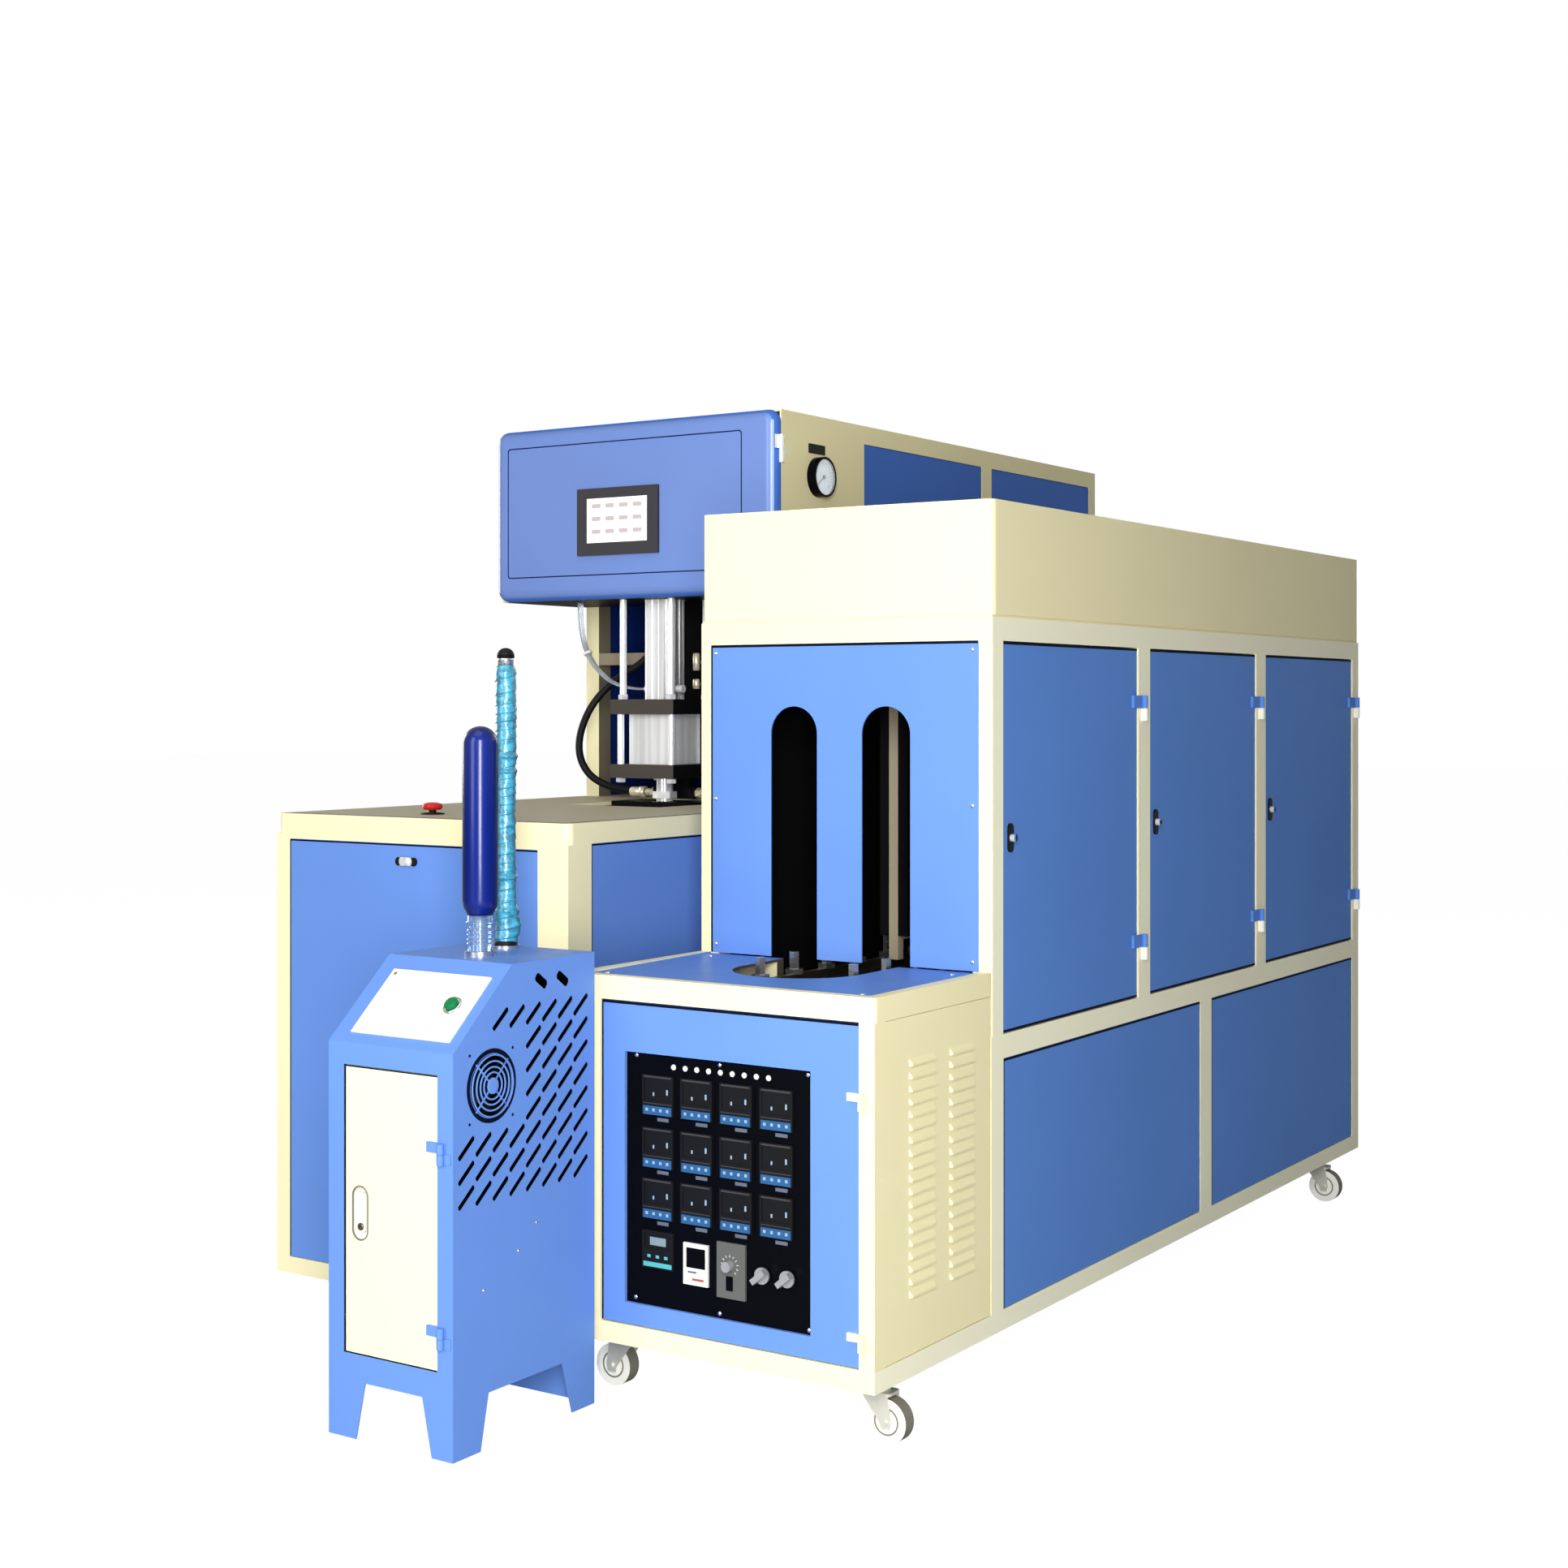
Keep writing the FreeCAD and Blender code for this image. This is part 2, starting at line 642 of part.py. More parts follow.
def control_door():
    """Door of the control cabinet with its window for the instruments."""
    t, near, far = D.sheet_metal, FY + 5, FY + 16
    x0, x1, z0, z1 = WINDOW
    parts = folded_door("-y", FY, RX - 561, RX - 30, D.lower_rail,
                        D.counter_top - D.counter_thickness)
    parts[0] = cut(parts[0], box(x0, x1, FY - 5, FY + 9, z0, z1, "window"), "door_sheet")
    reveal = [box(x0 - t, x0, near, far, z0 - t, z1 + t, "reveal"),
              box(x1, x1 + t, near, far, z0 - t, z1 + t, "reveal"),
              box(x0, x1, near, far, z0 - t, z0, "reveal"),
              box(x0, x1, near, far, z1, z1 + t, "reveal")]
    fixed = []
    for z in (580, 190):
        still, turning = hinge(
            RX - 22, FY - PROUD, z, [(RX - 24, RX - 4, FY - 2.5, FY)],
            [(RX - 52, RX - 34, FY - 0.5, FY + 3), (RX - 52, RX - 22, FY - 2.5, FY - 0.5)], 27.0)
        fixed.append(still)
        parts.append(turning)
    return parts + reveal, fixed


def instrument_panel():
    """Black panel behind the door's window."""
    x0, x1, z0, z1 = WINDOW
    plate = box(x0, x1, FY + 10, FY + 13, z0, z1, "plate")
    bores = [rod("y", RX - x, FY + 8, z, SPINDLE + D.pin_clearance, 9, "spindle_bore")
             for x, z in (KNOB_AT,) + SELECTORS_AT]
    studs = [rod("y", RX - x, FY + 8.5, z, 3, 1.5, "screw")
             for x, z in ((487, 615), (133, 613), (489, 194), (131, 192), (311, 192), (311, 613))]
    return [cut(plate, bores, "pierced_plate")] + studs


def controllers():
    """Twelve temperature controllers in four columns and three rows."""
    parts = []
    for column in range(4):
        for top in (584, 493, 405):
            x = RX - 472.5 + 81.7 * column
            bezel = box(x, x + 66, FY + 4, FY + 10, top - 69.5, top, "bezel")
            dent = box(x + 5, x + 61, FY + 2, FY + 5.5, top - 43, top - 5, "display")
            parts.append(cut(bezel, dent, "controller"))
    return parts


def panel_meters():
    """Timer, meter, speed unit and the row of pilot lamps."""
    timer = cut(box(RX - 472.5, RX - 406, FY + 4, FY + 10, 250, 315, "timer"),
                box(RX - 467, RX - 411, FY + 2, FY + 5.5, 285, 309, "display"), "timer_body")
    meter = cut(box(RX - 385, RX - 334, FY + 5, FY + 10, 233, 304, "meter"),
                box(RX - 380, RX - 339, FY + 3, FY + 6.5, 258, 298, "dial"), "meter_body")
    x, z = KNOB_AT
    unit = cut(box(RX - 315, RX - 257, FY + 5, FY + 10, 221, 315, "speed_unit"),
               rod("y", RX - x, FY + 3, z, SPINDLE + D.pin_clearance, 9, "spindle_bore"),
               "speed_unit_body")
    parts = [timer, meter, unit]
    return parts + [prism("y", RX - 405 + 24.5 * lamp, FY + 5, 601, 5.5, 5, 8, "pilot_lamp")
                    for lamp in range(9)]


def knob(x, z, radius, length, pointer):
    """A turned knob on its spindle, with a raised pointer."""
    body = rod("y", x, FY + 4.5 - length, z, radius, length, "knob")
    stem = rod("y", x, FY + 4.5, z, SPINDLE, 11, "spindle")
    mark = box(x - 1.5, x + 1.5, FY + 3.5 - length, FY + 4.5, z, z + pointer, "pointer")
    return fuse([body, stem, mark], "knob_body")


def selector(x, z):
    """A selector switch: a collar and a grip that leans to the right."""
    collar = rod("y", x, FY + 0.5, z, 14, 4, "collar")
    stem = rod("y", x, FY + 0.5, z, SPINDLE, 15, "spindle")
    grip = DOC.addObject("Part::Box", unique("grip"))
    grip.Length, grip.Width, grip.Height = 31, 13, 10
    grip.Placement = FreeCAD.Placement(V(), FreeCAD.Rotation(V(0, 1, 0), -40))
    place(grip, x - 9, FY - 12.5, z - 14)
    return fuse([collar, stem, grip], "selector_body")


def conveyor():
    """Chain loop; and apart from it the sprockets, shafts, rails and beams."""
    mid, z = MIDDLE, D.chain_height
    r = D.lane_spacing / 2
    tall, thick = 16, 7
    y0, y1 = D.sprocket_front, D.sprocket_rear
    loop = Shaper("chain_loop", mid, FY, z - tall / 2)
    loop.pad(stadium(loop.draw("XY"), 0, y0, y1, r + thick), tall)
    loop.pocket(stadium(loop.draw("XY"), 0, y0, y1, r - thick), 30, back=True)
    parts = []
    for y in (y0, y1):
        disc = prism("z", mid, FY + y, z - 4, r - 8, 8, 24, "sprocket")
        hub = rod("z", mid, FY + y, z + 4, 30, 10, "hub")
        shaft = rod("z", mid, FY + y, D.tunnel_floor, 14, z - 4 - D.tunnel_floor, "shaft")
        parts += [disc, hub, shaft]
    for side in (-1, 1):
        parts.append(box(mid + side * r - 12, mid + side * r + 12, FY + 446, FY + 2110,
                         z - 26, z - 8, "rail"))
    for y in CROSS_TUBES:
        parts.append(box(mid - 112, mid + 112, FY + y, FY + y + T, D.tunnel_floor, z - 26,
                         "rail_foot"))
    for y in (y0, y1):
        parts.append(box(LEFT + T, RX - T, FY + y - 30, FY + y + 30, D.tunnel_floor - 30,
                         D.tunnel_floor, "bearing_beam"))
    return loop.body, parts


def spindles():
    """Preform holders along both runs of the chain."""
    parts = []
    for lane in (-0.5, 0.5):
        x = MIDDLE + D.lane_spacing * lane
        for number in range(17):
            y = FY + 290 + 114 * number
            parts.append(prism("z", x, y, D.chain_height + 8, 19, 10, 6, "holder"))
            parts.append(prism("z", x, y, D.chain_height + 18, 10, 32, 6, "spindle"))
    return parts


def lamp_bank():
    """Heating lamps between the lanes, in brackets on posts that hang from the roof."""
    parts = []
    wide, thick, roof = 10, 20, D.upper_rail
    for y in LAMP_POSTS:
        front, back = FY + y, FY + y + thick
        parts += [box(MIDDLE - wide, MIDDLE + wide, front, back, D.chain_height + 22, 1300, "post"),
                  box(MIDDLE - 60, MIDDLE + 60, front, back, 1300, 1320, "hanger"),
                  box(MIDDLE - wide, MIDDLE + wide, front, back, 1320, roof, "hanger"),
                  box(LEFT + T, RX - T, front, back, roof, roof + 20, "roof_rail")]
        for side in (-30, 10):
            parts.append(box(MIDDLE + side, MIDDLE + side + thick, front, back, 780, 1250,
                             "bracket"))
    for y0, y1 in ((620, 1360), (1380, 2130)):
        parts.append(box(MIDDLE - 2, MIDDLE + 2, FY + y0, FY + y1, 770, 1290, "reflector"))
        for side in (-1, 1):
            for row in range(6):
                parts.append(prism("y", MIDDLE + side * 22, FY + y0, 810 + 84 * row, 6, y1 - y0,
                                   8, "lamp_tube"))
    return parts


def caster(number):
    """Fork and wheel of one swivel caster; its plate stays on the frame."""
    right = number in (0, 2)
    inset, pin, axle_r = 56, 6, 5
    x = RX - inset if right else LEFT + inset
    away = 1 if right else -1
    y = FY + CASTER_Y[0 if number < 2 else 1]
    z = D.wheel_radius
    plate = [box(x - 35, x + 35, y - 35, y + 35, B0 - 5, B0, "caster_plate"),
             rod("z", x, y, B0 - 9, 24, 4, "raceway"),
             rod("z", x, y, 88, pin, B0 - 97, "kingpin")]
    trail, half = D.caster_trail * away, 19.0
    fork = Shaper("caster_fork_body", x, y, 0)
    inner, outer = (-24, 34) if right else (-34, 24)
    fork.pad(fork.draw("XY", 80).rounded(inner, outer, -half, half, 8), 5)
    fork.pad(fork.draw("XY", 85).circle(0, 0, 22), 14.5)
    fork.pocket(fork.draw("XY", 70).circle(0, 0, pin + D.pin_clearance), 60, back=True)
    for start in (-half, half - 3):
        leg = fork.draw("XZ", -start)
        leg.polygon([(-20 * away, 81), (30 * away, 81), (trail + 11 * away, z),
                     (trail + 8 * away, z - 11), (trail - 8 * away, z - 11),
                     (trail - 11 * away, z)])
        fork.pad(leg, 3, back=True)
    axle = fork.draw("XZ", 23).circle(trail, z, axle_r)
    fork.pad(axle, 46, back=True)
    wheel = Shaper("caster_wheel_body", x + trail, y + D.wheel_width / 2, z)
    wheel.pad(wheel.draw("XZ").circle(0, 0, z), D.wheel_width)
    wheel.pocket(wheel.draw("XZ").circle(0, 0, axle_r + D.pin_clearance), 60, back=True)
    return plate, fork.body, wheel.body


# ---------------------------------------------------------- heating stand

STAND_R = RX - D.stand_side
STAND_L = STAND_R - D.stand_width
STAND_F = FY - D.stand_front
STAND_B = FY - D.stand_back
SLOPE = math.atan2(num(D.stand_height - D.stand_knee), num(D.console_run))
FAN_Y, FAN_Z = -281, 596
STAND_DOOR = (34, 244, 141, 623)
PREFORM_X, PREFORM_Y = RX - 691, FY - 168
SLEEVE_X, SLEEVE_Y = RX - 735, FY - 50


def stand_shell(button_bore):
    """Folded cabinet: sloping console, cut-out feet, slots and a fan hole."""
    t = D.sheet_metal
    depth = D.stand_front - D.stand_back
    run, knee, top = D.console_run, D.stand_knee, D.stand_height
    shape = Shaper("stand_sheet", STAND_L, STAND_F, 0)
    outer = shape.draw("YZ").polygon([(0, 0), (depth, 0), (depth, top), (run, top), (0, knee)])
    shape.pad(outer, D.stand_width)
    inner = shape.draw("YZ", t).polygon(
        [(t, 104), (depth - t, 104), (depth - t, top - t), (run + 0.9, top - t),
         (t, knee - 0.9)])
    shape.pocket(inner, D.stand_width - t * 2, back=True)
    skirt = shape.draw("YZ", t).rect(t, depth - t, -5, 100)
    shape.pocket(skirt, D.stand_width - t * 2, back=True)
    # doorway and the gap between the front feet
    front = shape.draw("XZ")
    front.rect(*STAND_DOOR)
    front.polygon([(62, -5), (233, -5), (211, 96), (84, 96)])
    shape.pocket(front, 9)
    # gap between the side feet, right through
    side = shape.draw("YZ").polygon([(66, -5), (306, -5), (277, 92), (87, 92)])
    shape.pocket(side, D.stand_width + 9, back=True)
    # fan hole in the right side
    duct = shape.draw("YZ", D.stand_width - 20).circle(D.stand_front + FAN_Y, FAN_Z, 52)
    shape.pocket(duct, 40, back=True)
    # hole in the top for the heater's shank
    hole = shape.draw("XY", top - 20).circle(PREFORM_X - STAND_L, PREFORM_Y - STAND_F, 12)
    shape.pocket(hole, 40, back=True)
    return cut(shape.body, vent_slots() + [button_bore], "stand_folded")


def vent_slots():
    """Cutters of the slanted air slots on the stand's right side."""
    cutters = []
    knee, front = num(D.stand_knee) - 40, num(D.stand_front)
    for column in range(8):
        y = -46.6 - 42.2 * column
        for row in range(8):
            z = 702.8 - 40.1 * row
            by_fan = abs(y - FAN_Y) < 74 and abs(z - FAN_Z) < 74
            by_slope = z > knee + (y + front) * math.tan(SLOPE)
            if not by_fan and not by_slope:
                cutters.append(slanted_slot(y, z))
    cutters += [slanted_slot(-153, 755, -35, 36, 16), slanted_slot(-96, 753, -35, 36, 16)]
    return cutters


def slanted_slot(y, z, lean=40, length=50, width=10):
    """One slanted slot cutter through the right side, with clipped ends."""
    h, w, c = length / 2.0, width / 2.0, width / 4.0
    pts = [(-h + c, -w), (h - c, -w), (h, -w + c), (h, w - c), (h - c, w), (-h + c, w),
           (-h, w - c), (-h, -w + c), (-h + c, -w)]
    turn = math.radians(lean)
    wire = Part.makePolygon([V(0, a * math.cos(turn) - b * math.sin(turn),
                               a * math.sin(turn) + b * math.cos(turn)) for a, b in pts])
    obj = solid(Part.Face(wire).extrude(V(12, 0, 0)), "slot_cutter")
    place(obj, STAND_R - 6, FY + y, z)
    return obj


def on_slope(obj, x, along, lift):
    """Sets an object on the console, some way up the slope and above its face."""
    lean = FreeCAD.Rotation(V(1, 0, 0), math.degrees(SLOPE))
    obj.Placement = FreeCAD.Placement(V(), lean)
    c, s = math.cos(SLOPE), math.sin(SLOPE)
    place(obj, STAND_L + x, STAND_F + along * c - lift * s, D.stand_knee + along * s + lift * c)
    return obj


def disc_on_slope(radius, height, lift, name):
    """A cylinder square to the slope on the button's axis, from lift upwards."""
    obj = DOC.addObject("Part::Cylinder", name)
    obj.Radius, obj.Height = radius, height
    return on_slope(obj, 215, 95, lift)


def console():
    """White plate on the slope with a ring, the button in it and the button's bore."""
    plate = DOC.addObject("Part::Box", "console_sheet")
    plate.Length, plate.Width, plate.Height = 219, 141, 3
    on_slope(plate, 37, 21, 0)
    stem = 9
    bore = disc_on_slope(stem + num(D.pin_clearance), 30, -12, "console_bore")
    ring = cut(disc_on_slope(17, 2, 3, "button_ring"), disc_on_slope(13, 9, 0, "button_hole"),
               "button_bezel")
    button = fuse([disc_on_slope(12.5, 5, 6, "button_cap"),
                   disc_on_slope(stem, 15.5, -9.5, "button_stem")], "button_body")
    return [cut(plate, bore, "console_pierced"), ring], button, bore


def stand_door():
    """Service door of the stand with a sunk swing handle."""
    left, right, z0, z1 = STAND_DOOR
    edge, x, z = STAND_L + right, RX - 775, 377
    parts = folded_door("-y", STAND_F, STAND_L + left, edge, z0, z1, depth=14.0)
    recess = oval_plate("y", x, STAND_F - 5, z, 33, 88, 14, "recess")
    parts[0] = cut(parts[0], recess, "door_sheet")
    parts.append(cut(oval_plate("y", x, STAND_F + 5, z, 37, 92, 10, "tray"),
                     oval_plate("y", x, STAND_F + 3, z, 33, 88, 10, "tray_space"),
                     "handle_tray"))
    parts.append(oval_plate("y", x, STAND_F + 6, z, 14, 68, 7, "handle"))
    fixed = []
    for z in (497, 199):
        still, turning = hinge(
            edge + 12, STAND_F - PROUD, z, [(edge + 10, edge + 30, STAND_F - 2.5, STAND_F)],
            [(edge - 22, edge - 4, STAND_F - 0.5, STAND_F + 3),
             (edge - 22, edge + 12, STAND_F - 2.5, STAND_F - 0.5)], 34.0)
        fixed.append(still)
        parts.append(turning)
    return parts, fixed


def fan():
    """Guard rings on the outside and the fan's frame within; the rotor apart."""
    x, y, z = STAND_R, FY + FAN_Y, FAN_Z
    wire, pin, blade_count = 2.6, 4, 7
    rings = [cut(rod("x", x + 2, y, z, radius, 2.5, "ring"),
                 rod("x", x + 1, y, z, radius - wire, 5, "ring_hole"), "guard_ring")
             for radius in (54, 42, 30, 18)]
    centre = rod("x", x + 2, y, z, 7, 2.5, "guard_centre")
    cross = [box(x, x + 2, y - 57, y + 57, z - 1.5, z + 1.5, "guard_bar"),
             box(x, x + 2, y - 1.5, y + 1.5, z - 57, z + 57, "guard_bar")]
    guard = fuse(rings + [centre] + cross, "guard")
    frame = cut(box(x - 40, x - 2, y - 60, y + 60, z - 60, z + 60, "fan_frame"),
                rod("x", x - 43, y, z, 56, 60, "fan_duct"), "fan_housing")
    spider = fuse([box(x - 40, x - 36, y - 58, y + 58, z - 4, z + 4, "strut"),
                   rod("x", x - 40, y, z, 20, 4, "motor_plate"),
                   rod("x", x - 36, y, z, pin, 26, "fan_pin")], "spider")
    rotor = Shaper("fan_hub", x - 35, y, z)
    rotor.pad(rotor.draw("YZ").circle(0, 0, 20), 26)
    blades = []
    for k in range(blade_count):
        blade = DOC.addObject("Part::Box", unique("blade"))
        blade.Length, blade.Width, blade.Height = 2, 16, 35
        turn = k * 360.0 / blade_count
        pitch = FreeCAD.Rotation(V(0, 0, 1), 40)
        spin = FreeCAD.Rotation(V(1, 0, 0), turn)
        blade.Placement = FreeCAD.Placement(V(), spin.multiply(pitch))
        a = math.radians(turn)
        place(blade, x - 20, y - 18 * math.sin(a), z + 18 * math.cos(a))
        blades.append(blade)
    wheel = cut(fuse([rotor.body] + blades, "fan_wheel"),
                rod("x", x - 40, y, z, pin + D.pin_clearance, 60, "fan_bore"), "fan_rotor_body")
    return [guard, fuse([frame, spider], "fan_body")], wheel


def preform():
    """Hollow preform standing over the heating rod, closed at its top."""
    r, length = D.preform_radius, D.preform_length
    foot = 9
    shape = Shaper("preform_body", PREFORM_X, PREFORM_Y, D.stand_height + foot)
    top = length - foot
    outline = shape.draw("XZ").polygon(
        [(17.5, 0), (22.5, 0), (22.5, 62), (r, 78), (r, top - 26), (r - 9, top - 8),
         (r - 21, top), (0, top), (0, top - 6), (r - 24, top - 7), (r - 14, top - 14),
         (r - 6, top - 30), (r - 6, 84), (17.5, 66)])
    shape.turn(outline)
    return shape.body


def rod_sockets():
    """Socket rings on the stand and the bare heating rod inside the preform."""
    x, y, z = PREFORM_X, PREFORM_Y, D.stand_height
    ring = fuse([rod("z", x, y, z, 27, 9, "socket_ring"), rod("z", x, y, z + 9, 9, 330, "heater"),
                 rod("z", x, y, z - 30, 12, 30, "socket_shank")], "socket")
    foot = rod("z", SLEEVE_X, SLEEVE_Y, z, 26, 6, "foot_ring")
    return [ring, foot]


def wrapped_rod():
    """Tall heating rod with its wound sleeve, collar and cap."""
    shape = Shaper("sleeve", SLEEVE_X, SLEEVE_Y, D.stand_height + 6)
    turns, wound, neck = 17, 497.0, 14
    pitch = wound / turns
    points = [(0, 0), (19, 0)]
    for k in range(turns):
        points += [(19.5, pitch * k + 4), (18.2, pitch * (k + 1) - 3)]
    points += [(neck, wound), (neck, wound + 12), (17, wound + 15), (neck, wound + 31),
               (0, wound + 31)]
    shape.turn(shape.draw("XZ").polygon(points))
    return shape.body


# ------------------------------------------------------------------ press

PR = RX - D.press_side
PL = PR - D.press_width
PF = FY + D.press_front
PB = PF + D.press_length
BX = RX - D.blow_across
BY = FY + D.blow_behind
TF = FY + D.tower_front
TABLE = D.table_height
TOWER = D.tower_height
TABLE_THICK = 42
BRACE = 640
POST = 690
TIES = [(a, b) for a in (-70, 70) for b in (-70, 70)]
BARS = [(side * D.bar_spread, z) for side in (-1, 1) for z in (D.bar_low, D.bar_high)]
ESTOP_X, ESTOP_Y = RX - 1350, FY + 430


def press_frame():
    """Lower frame of the press with its feet."""
    rim = TABLE - 53.5
    under = TABLE - TABLE_THICK
    foot, sill, half = 10, 45, 40
    parts = [box(PR - 77, PR, PF, PF + 73, sill, rim),
             box(PL, PL + 37, PF, PF + T, sill, rim),
             box(PL, PR, PF, PF + T, foot, sill),
             box(PL, PR, PF, PF + T, rim, under),
             box(PR - T, PR, PF + T, PF + 73, rim, under)]
    for x0, x1 in ((PL, PL + T), (PR - T, PR)):
        parts.append(box(x0, x1, PF + T, PB, foot, sill))
        parts.append(box(x0, x1, PB - T, PB, sill, under))
        parts.append(box(x0, x1, TF + BRACE, TF + BRACE + T, sill, under))
    parts.append(box(PL + T, PR - T, PB - T, PB, foot, sill))
    for y in (BY - D.end_plate - D.plate_metal, BY + D.end_plate, TF + BRACE):
        parts.append(box(PL + T, PR - T, y, y + T, foot, sill))
    for x in (PL + 80, PR - 80):
        for y in (PF + 80, PB - 80):
            parts.append(cut(box(x - half, x + half, y - half, y + half, 0, foot, "foot_plate"),
                             rod("z", x, y, -5, 9, 30, "anchor_hole"), "foot"))
    return parts


def press_table():
    """Table top with rolled corners and the opening over the mould."""
    shape = Shaper("table", PL, PF, TABLE - TABLE_THICK)
    w, d, rim = D.press_width, D.press_length, 37
    shape.pad(shape.draw("XY").rounded(0, w, 0, d, 18), TABLE_THICK)
    shape.pocket(shape.draw("XY").rect(rim, w - rim, rim, d - rim), TABLE_THICK - 8, back=True)
    cx = w + D.press_side - D.blow_across
    cy = D.blow_behind - D.press_front
    opening = shape.draw("XY").rect(cx - 135, cx + 135, cy - 202, cy + 202)
    shape.pocket(opening, 60, back=True)
    return shape.body


def press_panels():
    """Fixed sheets of the lower press."""
    sill, under = 45, TABLE - TABLE_THICK
    parts = panel("-y", PF, PL + 37, PR - 77, sill, TABLE - 53.5)
    for side, at, start in (("+x", PR, PF + 73), ("-x", PL, PF + T)):
        parts += panel(side, at, start, TF + BRACE, sill, under)
        parts += panel(side, at, TF + BRACE + T, PB - T, sill, under)
    parts += panel("+y", PB, PL + T, PR - T, sill, under)
    x, z, r, half = RX - 1296, 902, 9, 20
    parts.append(fuse([box(x - half, x + half, PF - 3, PF + 1, z - r, z + r, "latch"),
                       rod("y", x - half, PF - 3, z, r, 4, "latch"),
                       rod("y", x + half, PF - 3, z, r, 4, "latch"),
                       rod("y", x, PF - 11, z, 8, 8, "latch_knob")], "press_latch"))
    return parts


def tower_frame():
    """Upper frame behind the blow head."""
    parts = []
    roof = TOWER - D.panel_metal
    beam = roof - T
    for x0, x1 in ((PL, PL + T), (PR - T, PR)):
        parts.append(box(x0, x1, TF, TF + 48, TABLE, beam))
        parts.append(box(x0, x1, TF + 636, TF + POST, TABLE, beam))
        parts.append(box(x0, x1, PB - T, PB, TABLE, beam))
        parts.append(box(x0, x1, TF, PB, beam, roof))
    parts.append(box(PL + T, PR - T, TF, TF + T, 1325, 1355))
    parts.append(box(PL + T, PR - T, TF, TF + T, beam, roof))
    parts.append(box(PL + T, PR - T, PB - T, PB, beam, roof))
    return parts


def tower_panels():
    """Fixed sheets of the tower, its roof and the air inlet at the back."""
    parts = []
    beam = TOWER - D.panel_metal - T
    for side, at in (("+x", PR), ("-x", PL)):
        parts += panel(side, at, TF + 48, TF + 636, TABLE, beam)
        parts += panel(side, at, TF + POST, PB - T, TABLE, beam)
    sheet, seat = panel("+y", PB, PL + T, PR - T, TABLE, beam)
    x, z, outer, inner = (PL + PR) / 2, TABLE + 120, 17, 10.5
    seat = fuse([seat, rod("y", x, PB - 40, z, outer, 56, "inlet_neck")], "rear_seat")
    parts.append(cut(sheet, rod("y", x, PB - 60, z, outer, 90, "inlet_clear"), "rear_sheet"))
    parts.append(cut(seat, rod("y", x, PB - 60, z, inner, 90, "inlet_bore"), "rear_inlet"))
    parts.append(box(PL, PR, TF, PB, TOWER - D.panel_metal, TOWER, "roof"))
    return parts


HEAD_L = RX - 1685
HEAD_SEAT = FY + 1045
TIE = 8
NOZZLE = 20
MANIFOLD_Y = 49


def head_box():
    """Blow head's housing: five sheets, open to the front behind its door."""
    hb, t, side = D.head_bottom, 4, 37
    floor = hb + 12
    holes = [box(BX - side, BX + side, BY - side, BY + side, hb - 5, hb + 20, "stack_hole")]
    holes += [rod("z", BX + a, BY + b, hb - 5, TIE, 30, "tie_hole") for a, b in TIES]
    return [cut(box(HEAD_L, PR, HEAD_SEAT, TF, hb, floor, "head_floor"), holes, "head_base"),
            box(HEAD_L, PR, HEAD_SEAT, TF, TOWER - t, TOWER, "head_roof"),
            box(PR - t, PR, HEAD_SEAT, TF, floor, TOWER - t, "head_side"),
            box(HEAD_L, HEAD_L + t, HEAD_SEAT, TF, floor, TOWER - t, "head_side"),
            box(HEAD_L + t, PR - t, TF - t, TF, floor, TOWER - t, "head_back")]


def head_door():
    """Door of the blow head: rolled rim, sunk field and hinge halves."""
    hb = D.head_bottom
    wide, high = PR - HEAD_L, TOWER - hb
    rim, sheet = 24, 6
    shape = Shaper("head_door_sheet", HEAD_L, FY + D.head_front, hb)
    shape.pad(shape.draw("XZ").rounded(0, wide, 0, high, 30), 28, back=True)
    shape.roll_front(rim)
    shape.pocket(shape.draw("XZ", -sheet).rounded(rim, wide - rim, rim, high - rim, 12), 60)
    groove = shape.draw("XZ")
    groove.rounded(41, wide - 87, 55, high - 43, 8)
    groove.rounded(44, wide - 90, 58, high - 46, 6)
    shape.pocket(groove, 3.5)
    parts = [shape.body]
    fixed, y = [], FY + D.head_front + 20
    for z in (1796, 1562):
        still, turning = hinge(PR + PROUD, y, z, [(PR, PR + 2.5, y, y + 34)],
                               [(PR, PR + 2.5, y - 17, y)], 62.0)
        fixed.append(still)
        parts.append(turning)
    return parts, fixed


def touch_screen():
    """Operator's screen on the head door."""
    y = FY + D.head_front
    bezel = box(RX - 1424, RX - 1188, y - 8, y, 1575, 1732, "bezel")
    glass = box(RX - 1396, RX - 1218, y - 12, y - 6.5, 1603, 1709, "glass_field")
    return cut(bezel, glass, "screen")


def upper_cylinder():
    """Stretch cylinder: a grooved profile tube with its ports and tie rods."""
    foot, half = D.upper_barrel, 37
    profile = Shaper("upper_barrel", BX, BY, foot)
    profile.pad(profile.draw("XY").rounded(-half, half, -half, half, 13), 463)
    grooves = profile.draw("XY")
    for side in (-1, 1):
        low, high = sorted((side * (half - 3), side * (half + 8)))
        for near in (-12, 6):
            grooves.rect(low, high, near, near + 6)
            grooves.rect(near, near + 6, low, high)
    profile.pocket(grooves, 500, back=True)
    profile.pocket(profile.draw("XY").circle(0, 0, 25), 453, back=True)
    ports = [rod("x", BX + start, BY, foot + 25, 9, 18, "port") for start in (-half - 18, half)]
    ties = [rod("z", BX + a, BY + b, foot, TIE, D.head_bottom + 12 - foot, "tie_rod")
            for a, b in TIES]
    return [profile.body] + ports + ties


